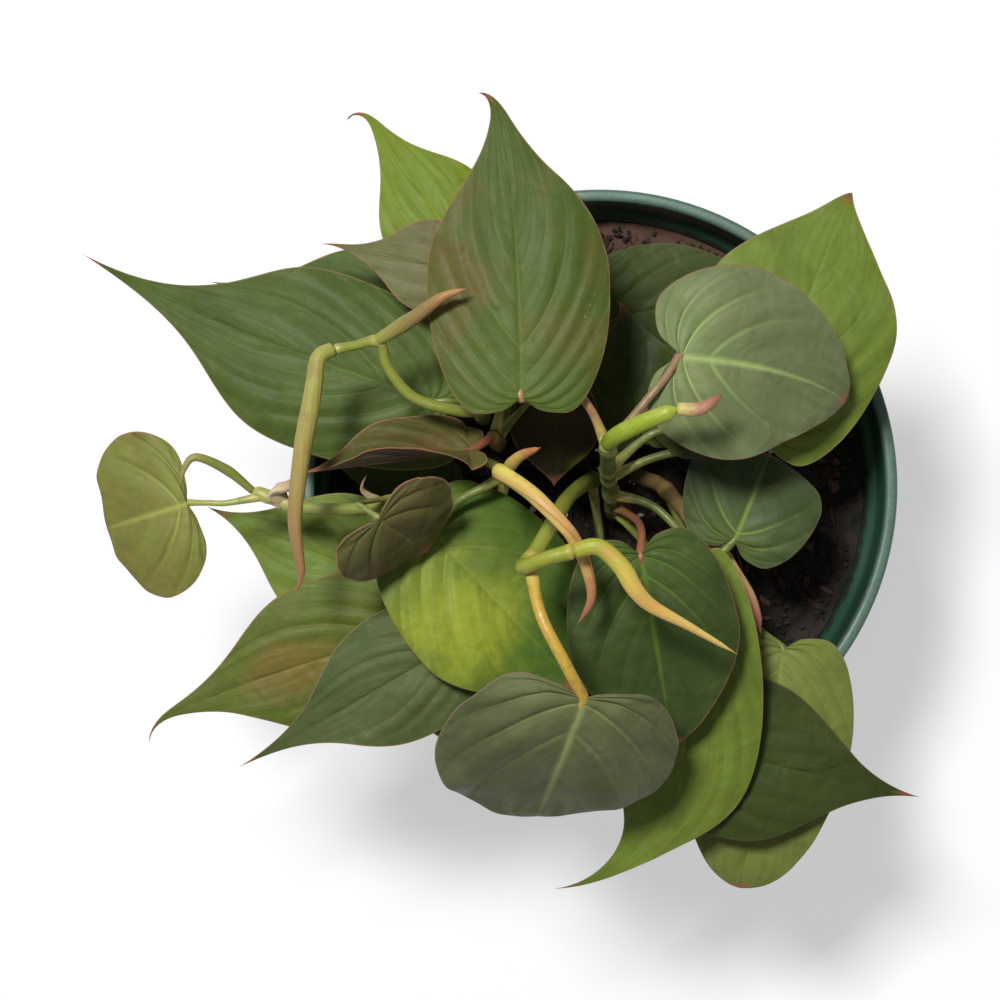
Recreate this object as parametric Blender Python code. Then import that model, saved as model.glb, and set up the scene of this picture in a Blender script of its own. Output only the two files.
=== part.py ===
"""Young velvet-leaf philodendron in a round plastic nursery pot.

Units are metres and +Z is up. The origin is the centre of the pot's underside, which stands on z = 0.
Places on the plant are written in millimetres: x and y from the pot's axis, then the height above
the pot's rim, so the whole plant follows the pot when its height changes.

A leaf is one grown piece, a heart-shaped blade with its petiole. Each petiole starts beside a vine,
each vine starts just above the soil, and each shoot (a rolled new leaf, a bud or a dry bract) starts
just clear of the piece it grows from.
"""
from dataclasses import dataclass
import math

import bmesh
import bpy
import numpy as np

MM = 0.001

# Pot
POT_HEIGHT = 112 * MM
RIM_RADIUS = 76 * MM
BASE_RADIUS = 53 * MM
POT_WALL = 1.5 * MM
FLOOR_FILLET = 3 * MM
RIM_BAND_HEIGHT = 13 * MM
RIM_BAND_STEP = 1.6 * MM
LIP_ROUNDING = 0.35
DRAIN_HOLE_RADIUS = 4.5 * MM
DRAIN_HOLE_COUNT = 8
POT_SEGMENTS = 48
DRAIN_HOLE_SEGMENTS = 12

# Soil
SOIL_BELOW_RIM = 18 * MM
SOIL_CROWN = 3 * MM
SOIL_LUMPS = 0.8 * MM
LUMP_X, LUMP_Y, LUMP_FINE = 7 * MM, 6 * MM, 4 * MM
SOIL_RINGS = 5
SOIL_SEGMENTS = 24

# Plant
VINE_RADIUS = 2.1 * MM
PETIOLE_RADIUS = 1.2 * MM
BLADE_THICKNESS = 0.8 * MM
FIT_GAP = 0.3 * MM
START_GAP = 0.7 * MM

# Fineness of the grown pieces
TUBE_SIDES = 6
TUBE_STEP = 8 * MM
SHOOT_STEP = 6 * MM
WELD_DISTANCE = 0.01 * MM
OUTLINE_STEPS = (1, 3, 5)
VEIN_STEPS = 2
MIDRIB_SAMPLES = 120

# Shape of every blade: lengthways as shares of the lobe or the midrib, sideways of the half width
NOTCH_BACK = 0.45
NOTCH_SIDE = 0.11
LOBE_SIDE = 0.46
LOBE_FULLNESS = 0.55
SHOULDER_LENGTH = 0.42
TIP_START = 0.82
VEIN_ROOT_POWER = 1.6

# Colours (linear RGB) and roughness
POT_GREEN = (0.020, 0.052, 0.034, 1.0)
SOIL_BROWN = (0.022, 0.013, 0.009, 1.0)
LEAF_GREEN = (0.075, 0.120, 0.045, 1.0)
VINE_GREEN = (0.200, 0.230, 0.060, 1.0)
SHOOT_YELLOW = (0.420, 0.330, 0.120, 1.0)


@dataclass
class Vine:
    """A stem that rises from the soil at foot (x, y) through the points of its route.

    girth is the stem's thickness at its foot and at its end, as shares of VINE_RADIUS.
    """
    name: str
    foot: tuple
    route: tuple
    girth: tuple = (1.0, 0.95)


@dataclass
class Leaf:
    """A heart-shaped blade on its petiole; lengths in millimetres, angles in degrees.

    host and at say which vine the petiole leaves, and how far along it from 0 to 1. via is the
    petiole's way to the junction. heading is the compass turn of the midrib at the junction, from
    +X towards +Y. The midrib rises by pitch there, turns down by droop and sideways by sweep on its
    way to the tip, and its last part turns down by hook and sideways by curl. roll lifts the left
    half, fold lifts both halves, most at mid-length and not at all at the ends, and cup turns each
    half down again towards its margin. blunt is how full the blade still is just before its tip.
    """
    name: str
    host: str
    at: float
    via: tuple
    junction: tuple
    heading: float
    length: float
    width: float
    lobe: float = 8.0
    widest: float = 0.30
    acumen: float = 0.35
    pitch: float = -5.0
    droop: float = 15.0
    sweep: float = 0.0
    roll: float = 0.0
    fold: float = 6.0
    cup: float = 22.0
    hook: float = 0.0
    curl: float = 0.0
    blunt: float = 0.09


@dataclass
class Shoot:
    """A rolled leaf, bud or bract: a spindle along a route, radius in millimetres at its widest."""
    name: str
    host: str
    at: float
    route: tuple
    radius: float
    profile: tuple = (0.75, 1.0, 0.7, 0.25)


VINES = (
    Vine("vine_left", (-30, -4), ((-31, -3, 5), (-43, 0, 18), (-57, -5, 30), (-74, -5, 34), (-86, -1, 34)),
         (0.95, 0.7)),
    Vine("vine_back_left", (-30, 18),
         ((-30, 18, 22), (-31, 18, 46), (-36, 18, 53), (-46, 21, 55), (-52, 28, 57), (-54, 34, 59),
          (-60, 33, 61), (-65, 32, 62)), (1.0, 0.55)),
    Vine("vine_centre", (-24, 3), ((-24, 3, 20), (-25, 3, 56))),
    Vine("vine_front", (-1, 2),
         ((-4, 1, 12), (-9, -3, 32), (-13, -9, 47), (-18, -17, 58), (-20, -19, 63), (-15, -17, 68),
          (-8, -15, 70))),
    Vine("vine_right", (4, -7), ((3, -4, 6), (1, 3, 30), (0, 10, 58))),
    Vine("vine_low_right", (10, 3), ((12, 2, -8), (16, 0, -2), (23, -8, 8))),
    Vine("vine_middle", (-26, 11), ((-26, 11, 12), (-27, 12, 36))),
)

LEAVES = (
    Leaf("leaf_top", "vine_right", 0.94, ((-4, 18, 58), (-9, 23, 60), (-16, 24, 63)), (-20.5, 20.5, 66),
         heading=91, length=79, width=44, lobe=3.5, widest=0.36, acumen=0.34, pitch=-2, droop=12,
         sweep=14, fold=4, cup=26, hook=60, curl=70),
    Leaf("leaf_round", "vine_right", 0.95, ((9, 20, 56), (14, 26, 55)), (17.5, 31, 54),
         heading=-6, length=48, width=47, lobe=7, widest=0.3, acumen=0.1, pitch=-6, droop=30,
         sweep=-28, fold=6, cup=24, hook=45, blunt=0.3),
    Leaf("leaf_front_round", "vine_front", 0.80, ((-16, -30, 66), (-10, -42, 66)), (-6, -50, 62),
         heading=-90, length=42, width=58, lobe=3, widest=0.44, acumen=0.06, pitch=-24, droop=36,
         fold=8, cup=26, hook=30, blunt=0.45, sweep=-44),
    Leaf("leaf_far_left", "vine_left", 0.96, ((-92, -4, 35), (-97, -4, 35)), (-102, -4, 34),
         heading=-154, length=23, width=42, lobe=1.5, widest=0.48, acumen=0.03, pitch=-8, droop=20,
         fold=6, cup=22, hook=40, blunt=0.75),
    Leaf("leaf_small_centre", "vine_left", 0.54, ((-59, -4, 42), (-58, -5, 52)), (-54, -8, 58),
         heading=-36, length=24, width=34, lobe=2.5, widest=0.30, acumen=0.15, pitch=-46, droop=20,
         roll=14, fold=10, cup=20, blunt=0.25),
    Leaf("leaf_folded", "vine_middle", 1.0, ((-29, 11, 41),), (-33, 9, 44),
         heading=-172, length=42, width=20, lobe=4, widest=0.42, acumen=0.30, pitch=0, droop=12,
         roll=46, fold=60, cup=0),
    Leaf("leaf_centre", "vine_centre", 0.66, ((-29, 0, 36), (-36, -4, 36)), (-41.5, -12, 33),
         heading=-47, length=53, width=47, lobe=7, widest=0.42, acumen=0.12, pitch=-2, droop=14,
         roll=-12, fold=6, cup=24, blunt=0.3),
    Leaf("leaf_heart", "vine_right", 0.22, ((8, -8, 20), (9, -11, 34)), (8.5, -16.5, 42),
         heading=-80, length=51, width=42, lobe=5, widest=0.42, acumen=0.12, pitch=-4, droop=20,
         fold=8, cup=26, hook=30, blunt=0.35),
    Leaf("leaf_olive", "vine_middle", 0.92, ((-24, 26, 42), (-19, 42, 45), (-20, 48, 46)), (-25, 50, 46),
         heading=170, length=46, width=23, lobe=6, widest=0.35, acumen=0.45, pitch=-5, droop=12,
         sweep=-8, fold=8, cup=22, curl=20),
    Leaf("leaf_left_long", "vine_back_left", 0.30, ((-33, 20, 24), (-37, 21, 31)), (-42, 21, 32),
         heading=161, length=97, width=45, lobe=10, widest=0.30, acumen=0.50, pitch=0, droop=18,
         sweep=-12, fold=6, cup=24),
    Leaf("leaf_lower_left", "vine_centre", 0.45, ((-27, -14, 20), (-29, -28, 25)), (-33, -37, 26),
         heading=-150, length=70, width=33, lobe=8, widest=0.26, acumen=0.50, pitch=-2, droop=24,
         fold=12, cup=30),
    Leaf("leaf_small_right", "vine_right", 0.38, ((13, -5, 17), (23, -15, 21), (28, -17, 23)), (32.5, -13, 24),
         heading=66, length=24, width=35, lobe=4, widest=0.6, acumen=0.02, pitch=-6, droop=20,
         fold=10, cup=20, blunt=0.7),
    Leaf("leaf_top_left", "vine_middle", 0.62, ((-22, 26, 26), (-22, 38, 31)), (-27, 46, 32),
         heading=124, length=63, width=31, lobe=7, widest=0.32, acumen=0.42, pitch=-4, droop=12,
         fold=5, cup=22, hook=15, curl=78),
    Leaf("leaf_reddish", "vine_centre", 0.30, ((-29, -16, 10), (-34, -30, 17)), (-43, -35, 18),
         heading=-164, length=80, width=39, lobe=9, widest=0.30, acumen=0.45, pitch=-2, droop=12,
         sweep=10, roll=-8, fold=6, cup=26, curl=60),
    Leaf("leaf_curved", "vine_right", 0.14, ((9, -12, 8), (15, -19, 21)), (20, -22, 27.5),
         heading=-84, length=101, width=37, lobe=6, widest=0.42, acumen=0.42, pitch=-4, droop=26,
         sweep=-87, fold=6, cup=22),
    Leaf("leaf_back_right", "vine_right", 0.56, ((12, 7, 28), (27, 11, 29)), (39, 18, 30),
         heading=68, length=61, width=50, lobe=9, widest=0.40, acumen=0.15, pitch=-4, droop=12,
         fold=5, cup=22, hook=70, curl=-30, blunt=0.2),
    Leaf("leaf_left_back", "vine_back_left", 0.16, ((-32, 28, 14), (-34, 38, 19)), (-38, 43, 20),
         heading=172, length=62, width=27, lobe=7, widest=0.32, acumen=0.40, pitch=-2, droop=12,
         fold=5, cup=22),
    Leaf("leaf_left_low", "vine_left", 0.14, ((-38, -12, 9), (-44, -20, 12)), (-50, -26, 12),
         heading=157, length=54, width=36, lobe=7, widest=0.30, acumen=0.35, pitch=0, droop=8,
         fold=5, cup=18),
    Leaf("leaf_right_low", "vine_front", 0.10, ((2, -25, 2), (6, -48, 7), (10, -59, 12)), (17, -64, 14),
         heading=-13, length=67, width=42, lobe=8, widest=0.28, acumen=0.38, pitch=-2, droop=16,
         fold=4, cup=24),
    Leaf("leaf_hanging", "vine_low_right", 0.55, ((24, -16, -2), (38, -34, 5)), (46, -41, 8),
         heading=-99, length=65, width=43, lobe=4, widest=0.36, acumen=0.0, pitch=-1, droop=13,
         fold=5, cup=20, hook=30, blunt=0.5),
    Leaf("leaf_strip", "vine_right", 0.12, ((0, 16, -4), (-6, 32, 4)), (-4, 41, 7),
         heading=12, length=55, width=34, lobe=6, widest=0.34, acumen=0.20, pitch=-2, droop=6,
         fold=4, cup=16),
    Leaf("leaf_shade_back", "vine_right", 0.42, ((4, 9, 17),), (9, 14, 19),
         heading=97, length=34, width=25, lobe=5, widest=0.36, acumen=0.30, pitch=6, droop=10,
         fold=6, cup=20, hook=60, curl=60),
    Leaf("leaf_shade_right", "vine_right", 0.66, ((12, 13, 32), (22, 14, 35)), (27, 18, 34),
         heading=183, length=20, width=22, lobe=4, widest=0.34, acumen=0.15, pitch=-4, droop=10,
         fold=6, cup=20),
    Leaf("leaf_brown", "vine_middle", 0.80, ((-21, 18, 33), (-15, 24, 37)), (-12, 21, 36),
         heading=-90, length=27, width=22, lobe=5, widest=0.34, acumen=0.18, pitch=-34, droop=10,
         fold=6, cup=22),
    Leaf("leaf_shade_left", "vine_centre", 0.14, ((-28, 6, -2), (-34, 8, 3)), (-40, 8, 6),
         heading=180, length=34, width=24, lobe=5, widest=0.32, acumen=0.30, pitch=0, droop=8,
         fold=5, cup=18),
)

SHOOTS = (
    Shoot("tip_left", "vine_left", 1.0, ((-92, 4, 38), (-99, 7, 42), (-102, 4, 41), (-103, 0, 39)), 1.3),
    Shoot("bract_far", "vine_left", 0.90, ((-82, 1, 38), (-76, 3, 40)), 1.3),
    Shoot("bract_near", "vine_left", 0.60, ((-59, -1, 34), (-58, 3, 36)), 1.0),
    Shoot("bud_back_left", "vine_back_left", 0.83,
          ((-50, 38, 62), (-45, 41, 65), (-39, 45, 68), (-33, 47, 70)), 2.3),
    Shoot("rolled_leaf_left", "vine_back_left", 1.0,
          ((-68, 30, 64), (-69, 24, 64), (-70, 18, 63), (-72, 8, 61), (-74, -8, 57), (-73, -21, 52),
           (-75, -26, 50)), 2.3, (0.8, 1.0, 0.7, 0.3)),
    Shoot("rolled_leaf_centre", "vine_centre", 1.0,
          ((-25, 3, 60), (-18, -2, 66), (-11, -9, 67), (-8, -13, 65), (-5, -20, 62), (-4, -27, 58),
           (-7, -33, 53)), 2.0, (1.0, 1.0, 0.7, 0.3)),
    Shoot("horn_centre", "vine_centre", 0.92, ((-21, 7, 57), (-16, 9, 62)), 1.6),
    Shoot("rolled_leaf_front", "vine_front", 1.0,
          ((-4, -14, 71), (-1, -15, 71), (3, -19, 71), (6, -24, 70), (10, -28, 67), (19, -33, 62),
           (31, -40, 55)), 2.3, (0.9, 1.0, 0.55, 0.2)),
    Shoot("sheath_right", "vine_right", 1.0, ((2, 12, 62), (8, 15, 67), (16, 18, 70)), 2.3,
          (0.9, 1.0, 0.9, 0.8)),
    Shoot("bud_right", "sheath_right", 1.0, ((21, 18, 71), (26, 21, 70)), 1.7, (0.9, 1.0, 0.8, 0.4)),
    Shoot("sheath_low_right", "vine_low_right", 1.0,
          ((27, -13, 12), (32, -21, 16), (37, -29, 16), (40, -37, 13)), 2.8, (0.7, 1.0, 0.8, 0.3)),
    Shoot("bract_foot", "vine_right", 0.18, ((7, -5, 2), (8, -4, 6)), 1.3),
)


def unit(vector):
    """The vector at length 1."""
    return vector / np.linalg.norm(vector)


def on_pot(point):
    """A place written in millimetres and height above the rim, as metres in the pot's frame."""
    return np.array([point[0] * MM, point[1] * MM, POT_HEIGHT + point[2] * MM])


def wall_radius(z):
    """Outer radius of the tapered wall at height z; the rim band stands proud of it."""
    top = RIM_RADIUS - RIM_BAND_STEP
    return BASE_RADIUS + (top - BASE_RADIUS) * z / POT_HEIGHT


def soil_height(x, y):
    """Height of the soil's lumpy crowned top at x, y."""
    level = POT_HEIGHT - SOIL_BELOW_RIM
    inside = wall_radius(level) - POT_WALL
    crown = SOIL_CROWN * (1 - (x * x + y * y) / inside ** 2)
    lumps = np.sin(x / LUMP_X) * np.cos(y / LUMP_Y) + 0.5 * np.sin((x + 2 * y) / LUMP_FINE)
    return level + crown + SOIL_LUMPS * lumps


def smooth_path(points, step):
    """Places about one step apart on a Catmull-Rom curve through the points."""
    points = np.asarray(points)
    ends = np.vstack([2 * points[0] - points[1], points, 2 * points[-1] - points[-2]])
    places = []
    for before, start, finish, after in zip(ends, ends[1:], ends[2:], ends[3:]):
        count = max(1, round(float(np.linalg.norm(finish - start)) / step))
        t = (np.arange(count) / count)[:, None]
        places.append(0.5 * (2 * start + (finish - before) * t
                             + (2 * before - 5 * start + 4 * finish - after) * t ** 2
                             + (3 * start - before - 3 * finish + after) * t ** 3))
    return np.vstack(places + [points[-1:]])


def along(path, share):
    """The place at a share of the path's length, and the path's direction there."""
    steps = np.diff(path, axis=0)
    lengths = np.linalg.norm(steps, axis=1)
    reach = np.concatenate([[0.0], np.cumsum(lengths)])
    place = np.array([np.interp(share * reach[-1], reach, path[:, axis]) for axis in range(3)])
    index = min(int(np.searchsorted(reach, share * reach[-1], side="right")) - 1, len(steps) - 1)
    return place, unit(steps[index])


def clear_start(host, share, target, own_radius):
    """The place beside a host (path, radius) where a piece towards target can start clear of it.

    At the host's end the piece starts ahead of its end face; elsewhere it starts beside the host on
    the target's side, further out the more it leans along the host.
    """
    path, host_radius = host
    place, direction = along(path, share)
    towards = unit(target - place)
    lean = float(direction @ towards)
    aside = math.sqrt(max(1 - lean ** 2, 0.0))
    if share >= 1.0:
        return place + towards * (host_radius * aside + START_GAP)
    return place + unit(towards - direction * lean) * (host_radius + START_GAP + own_radius * abs(lean))


def tube_mesh(name, path, radii):
    """A closed tube of TUBE_SIDES sides along a path, with a radius at each place and flat ends."""
    tangents = np.gradient(path, axis=0)
    tangents /= np.linalg.norm(tangents, axis=1, keepdims=True)
    side = unit(np.cross(tangents[0], [0.31, 0.17, 0.93]))
    rings = []
    turn = np.arange(TUBE_SIDES) * 2 * math.pi / TUBE_SIDES
    for place, tangent, radius in zip(path, tangents, radii):
        side = unit(side - tangent * (side @ tangent))
        up = np.cross(tangent, side)
        rings.append(place + radius * (np.outer(np.cos(turn), side) + np.outer(np.sin(turn), up)))
    faces = [list(range(TUBE_SIDES))[::-1]]
    for ring in range(len(path) - 1):
        start = ring * TUBE_SIDES
        for k in range(TUBE_SIDES):
            after = (k + 1) % TUBE_SIDES
            faces.append([start + k, start + after, start + TUBE_SIDES + after, start + TUBE_SIDES + k])
    faces.append([(len(path) - 1) * TUBE_SIDES + k for k in range(TUBE_SIDES)])
    return mesh_from(name, np.vstack(rings), faces)


def mesh_from(name, points, faces):
    """A named mesh of these points and faces."""
    mesh = bpy.data.meshes.new(name)
    mesh.from_pydata(points.tolist(), [], faces)
    mesh.update()
    return mesh


def bezier(start, leave, arrive, finish, count):
    """Places at equal steps of a cubic Bezier curve, without its last one."""
    t = (np.arange(count) / count)[:, None]
    start, leave, arrive, finish = (np.array(p, float) for p in (start, leave, arrive, finish))
    return ((1 - t) ** 3 * start + 3 * (1 - t) ** 2 * t * leave
            + 3 * (1 - t) * t ** 2 * arrive + t ** 3 * finish)


def half_outline(leaf, steps):
    """The left margin of the flat blade, in metres, from the sinus round the lobe to the tip.

    x runs along the midrib from the junction and y to its left. Three curves meet at the lobe's
    back and at the widest place; the last one comes in along the midrib when the tip is drawn out.
    """
    length, half, lobe = leaf.length * MM, leaf.width * MM / 2, leaf.lobe * MM
    wide = leaf.widest * length
    notch = (-NOTCH_BACK * lobe, NOTCH_SIDE * half)
    notch_end = (-(1 + NOTCH_BACK) / 2 * lobe, 1.3 * NOTCH_SIDE * half)
    back = (-lobe, LOBE_SIDE * half)
    widest = (wide, half)
    shoulder = (wide + SHOULDER_LENGTH * (length - wide), half)
    tip = (length, 0.0)
    drawn = (length * (1 - leaf.acumen), leaf.blunt * half)
    return np.vstack([
        bezier(notch, notch_end, (-lobe, LOBE_SIDE / 2 * half), back, steps[0]),
        bezier(back, (-lobe, (1 + LOBE_SIDE) / 2 * half), (wide - LOBE_FULLNESS * (wide + lobe), half),
               widest, steps[1]),
        bezier(widest, shoulder, drawn, tip, steps[2]),
        [tip]])


def midrib_frames(leaf, x):
    """Places on the midrib at distances x from the junction, with its left and upward directions."""
    length = leaf.length * MM
    run = np.linspace(-leaf.lobe * MM, length, MIDRIB_SAMPLES)
    share = run / length
    last = np.clip((share - TIP_START) / (1 - TIP_START), 0, 1) ** 2
    rise = np.radians(leaf.pitch - leaf.droop * share - leaf.hook * last)
    turn = np.radians(leaf.heading + leaf.sweep * share * np.abs(share) + leaf.curl * last)
    ahead = np.stack([np.cos(rise) * np.cos(turn), np.cos(rise) * np.sin(turn), np.sin(rise)], axis=1)
    left = np.stack([-np.sin(turn), np.cos(turn), 0 * turn], axis=1)
    above = np.cross(ahead, left)
    roll = math.radians(leaf.roll)
    left, above = (math.cos(roll) * left + math.sin(roll) * above,
                   math.cos(roll) * above - math.sin(roll) * left)
    steps = (ahead[1:] + ahead[:-1]) / 2 * np.diff(run)[:, None]
    places = np.vstack([[0, 0, 0], np.cumsum(steps, axis=0)])
    places += on_pot(leaf.junction) - [np.interp(0, run, places[:, k]) for k in range(3)]

    def at(values):
        return np.stack([np.interp(x, run, values[:, k]) for k in range(3)], axis=-1)
    return at(places), at(left), at(above)


def blade_grid(leaf, side, steps, vein_steps):
    """One half of the blade as a grid of places: margin stations by steps from midrib to margin.

    A vein runs from the midrib to each station of the margin. Those of the lobes all start at the
    junction, and the others start further up the midrib the nearer the tip they end.
    """
    margin = half_outline(leaf, steps)
    length, half = leaf.length * MM, leaf.width * MM / 2
    root = length * (np.clip(margin[:, 0], 0, None) / length) ** VEIN_ROOT_POWER
    outward = np.linspace(0, 1, vein_steps + 1)
    x = root[:, None] + (margin[:, 0] - root)[:, None] * outward
    y = margin[:, 1][:, None] * outward
    share = np.clip(x / length, 0, 1)
    lean = np.radians(leaf.fold * 2 * np.sqrt(share * (1 - share)) - leaf.cup * y / half / 2)
    place, left, above = midrib_frames(leaf, x)
    return place + left * (side * y * np.cos(lean))[..., None] + above * (y * np.sin(lean))[..., None]


def weld(mesh):
    """Merge the mesh's places that coincide, at the midrib, the junction and the tip."""
    work = bmesh.new()
    work.from_mesh(mesh)
    bmesh.ops.remove_doubles(work, verts=work.verts, dist=WELD_DISTANCE)
    bmesh.ops.dissolve_degenerate(work, edges=work.edges, dist=WELD_DISTANCE)
    bmesh.ops.recalc_face_normals(work, faces=work.faces)
    work.to_mesh(mesh)
    work.free()


def blade_mesh(leaf):
    """The blade's middle surface as one mesh, its two halves joined along the midrib."""
    points, faces = [], []
    for side in (1, -1):
        grid = blade_grid(leaf, side, OUTLINE_STEPS, VEIN_STEPS)
        rows, columns = grid.shape[:2]
        start = len(points)
        points.extend(grid.reshape(-1, 3))
        for row in range(rows - 1):
            for column in range(columns - 1):
                a = start + row * columns + column
                corners = [a, a + 1, a + columns + 1, a + columns]
                faces.append(corners if side < 0 else corners[::-1])
    mesh = mesh_from(leaf.name, np.array(points), faces)
    weld(mesh)
    return mesh


def material(name, colour, roughness):
    """A plain Principled material."""
    made = bpy.data.materials.new(name)
    made.use_nodes = True
    shader = made.node_tree.nodes["Principled BSDF"]
    shader.inputs["Base Color"].default_value = colour
    shader.inputs["Roughness"].default_value = roughness
    shader.inputs["Metallic"].default_value = 0.0
    return made


def place_object(name, mesh, colour, roughness):
    """Put a mesh in the scene as a named object with its own material."""
    mesh.materials.append(material(name, colour, roughness))
    made = bpy.data.objects.new(name, mesh)
    bpy.context.scene.collection.objects.link(made)
    return made


def hidden_tool(name, mesh):
    """Put a mesh in the scene only for a Boolean to use."""
    made = bpy.data.objects.new(name, mesh)
    made.hide_render = True
    made.display_type = "WIRE"
    bpy.context.scene.collection.objects.link(made)
    return made


def boolean(target, tool, operation):
    """Cut or join a target with a hidden tool."""
    modifier = target.modifiers.new(operation.lower(), "BOOLEAN")
    modifier.operation = operation
    modifier.solver = "EXACT"
    modifier.use_self = operation == "UNION"
    modifier.object = tool


def turned_mesh(name, profile, segments, shape=None):
    """A closed body of revolution about Z; the profile starts and ends on the axis.

    The profile runs from the axis below, out and up, and back to the axis above. shape may move
    each ring's points, given the ring's index and its places.
    """
    turn = np.arange(segments) * 2 * math.pi / segments
    points = [[0, 0, profile[0][1]]]
    for index, (radius, z) in enumerate(profile[1:-1]):
        ring = np.stack([radius * np.cos(turn), radius * np.sin(turn), np.full(segments, z)], axis=1)
        points.extend(shape(index, ring) if shape else ring)
    points.append([0, 0, profile[-1][1]])
    rings = len(profile) - 2
    faces = []
    for k in range(segments):
        after = (k + 1) % segments
        faces.append([0, 1 + after, 1 + k])
        for ring in range(rings - 1):
            low, high = 1 + ring * segments, 1 + (ring + 1) * segments
            faces.append([low + k, low + after, high + after, high + k])
        last = 1 + (rings - 1) * segments
        faces.append([last + k, last + after, len(points) - 1])
    return mesh_from(name, np.array(points), faces)


def make_pot():
    """The tapered pot with its rim band, an open top and drain holes through its floor."""
    band_low = POT_HEIGHT - RIM_BAND_HEIGHT
    lip = POT_WALL + RIM_BAND_STEP
    shoulder = POT_HEIGHT - LIP_ROUNDING * lip
    profile = [
        (0, 0), (BASE_RADIUS - POT_WALL, 0), (BASE_RADIUS, POT_WALL),
        (wall_radius(band_low), band_low), (RIM_RADIUS - LIP_ROUNDING * RIM_BAND_STEP, band_low),
        (RIM_RADIUS, band_low + RIM_BAND_STEP), (RIM_RADIUS, shoulder),
        (RIM_RADIUS - LIP_ROUNDING * lip, POT_HEIGHT), (RIM_RADIUS - (1 - LIP_ROUNDING) * lip, POT_HEIGHT),
        (RIM_RADIUS - lip, shoulder),
        (wall_radius(POT_WALL + FLOOR_FILLET) - POT_WALL, POT_WALL + FLOOR_FILLET),
        (BASE_RADIUS - POT_WALL - FLOOR_FILLET, POT_WALL), (0, POT_WALL)]
    pot = place_object("pot", turned_mesh("pot", profile, POT_SEGMENTS), POT_GREEN, 0.42)
    for number in range(DRAIN_HOLE_COUNT):
        turn = 2 * math.pi * (number + 0.5) / DRAIN_HOLE_COUNT
        reach = BASE_RADIUS - 3 * DRAIN_HOLE_RADIUS
        drill = turned_mesh(f"drill_{number}", [
            (0, -POT_WALL), (DRAIN_HOLE_RADIUS, -POT_WALL), (DRAIN_HOLE_RADIUS, 2 * POT_WALL),
            (0, 2 * POT_WALL)], DRAIN_HOLE_SEGMENTS)
        tool = hidden_tool(drill.name, drill)
        tool.location = (reach * math.cos(turn), reach * math.sin(turn), 0)
        boolean(pot, tool, "DIFFERENCE")


def make_soil():
    """The potting mix: it fills the pot, clear of its wall and floor, and has a lumpy crowned top."""
    floor = POT_WALL + FIT_GAP
    level = POT_HEIGHT - SOIL_BELOW_RIM
    corner = POT_WALL + FLOOR_FILLET
    inset = POT_WALL + 2 * FIT_GAP
    edge = wall_radius(level) - inset
    sides = [(BASE_RADIUS - FLOOR_FILLET - inset, floor), (wall_radius(corner) - inset, corner + FIT_GAP),
             (edge, level)]
    top = [(edge * (1 - k / SOIL_RINGS), level) for k in range(1, SOIL_RINGS)]

    def lumpy(index, ring):
        if index >= len(sides) - 1:
            ring[:, 2] = soil_height(ring[:, 0], ring[:, 1])
        return ring
    profile = [(0, floor)] + sides + top + [(0, float(soil_height(0.0, 0.0)))]
    mesh = turned_mesh("soil", profile, SOIL_SEGMENTS, lumpy)
    place_object("soil", mesh, SOIL_BROWN, 0.95)


def make_vine(vine):
    """A vine's tube; returns the path and radius that others start from."""
    x, y = (value * MM for value in vine.foot)
    foot = np.array([x, y, float(soil_height(x, y)) + 2 * SOIL_LUMPS + FIT_GAP])
    path = smooth_path([foot] + [on_pot(point) for point in vine.route], TUBE_STEP)
    radii = VINE_RADIUS * np.linspace(*vine.girth, len(path))
    place_object(vine.name, tube_mesh(vine.name, path, radii), VINE_GREEN, 0.5)
    return path, VINE_RADIUS


def make_leaf(leaf, hosts):
    """A blade of even thickness, joined to the petiole that runs from its host to the junction."""
    blade = place_object(leaf.name, blade_mesh(leaf), LEAF_GREEN, 0.6)
    thickness = blade.modifiers.new("thickness", "SOLIDIFY")
    thickness.thickness = BLADE_THICKNESS
    thickness.offset = 0.0
    junction = on_pot(leaf.junction)
    via = [on_pot(point) for point in leaf.via]
    start = clear_start(hosts[leaf.host], leaf.at, via[0], PETIOLE_RADIUS)
    path = smooth_path([start] + via + [junction], TUBE_STEP)
    radii = np.full(len(path), PETIOLE_RADIUS)
    tool = hidden_tool("petiole_of_" + leaf.name, tube_mesh("petiole", path, radii))
    boolean(blade, tool, "UNION")


def make_shoot(shoot, hosts):
    """A spindle that thickens and thins along its route; returns what its own shoots start from."""
    radius = shoot.radius * MM
    route = [on_pot(point) for point in shoot.route]
    start = clear_start(hosts[shoot.host], shoot.at, route[0], radius * shoot.profile[0])
    path = smooth_path([start] + route, SHOOT_STEP)
    share = np.linspace(0, 1, len(path))
    radii = radius * np.interp(share, (0, 0.3, 0.7, 1), shoot.profile)
    place_object(shoot.name, tube_mesh(shoot.name, path, radii), SHOOT_YELLOW, 0.5)
    return path, radii[-1]


def build():
    """Make the pot, the soil and the plant in an emptied scene."""
    for old in list(bpy.data.objects):
        bpy.data.objects.remove(old, do_unlink=True)
    make_pot()
    make_soil()
    hosts = {vine.name: make_vine(vine) for vine in VINES}
    for shoot in SHOOTS:
        hosts[shoot.name] = make_shoot(shoot, hosts)
    for leaf in LEAVES:
        make_leaf(leaf, hosts)


if __name__ == "__main__":
    build()
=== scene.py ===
# %% [markdown]
# # A young velvet-leaf philodendron in its nursery pot
#
# This lesson dresses a plain measured model of a potted plant. Every leaf, vine and pot wall is made
# again as a fine surface: a blade with veins pressed into it, a rolled leaf with its seam, a pot with a
# rounded lip, and soil made of crumbs and bark. Shapes are numpy arrays and finishes are nodes.

# %% Start from the measured model
from dataclasses import dataclass
import math

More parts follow.
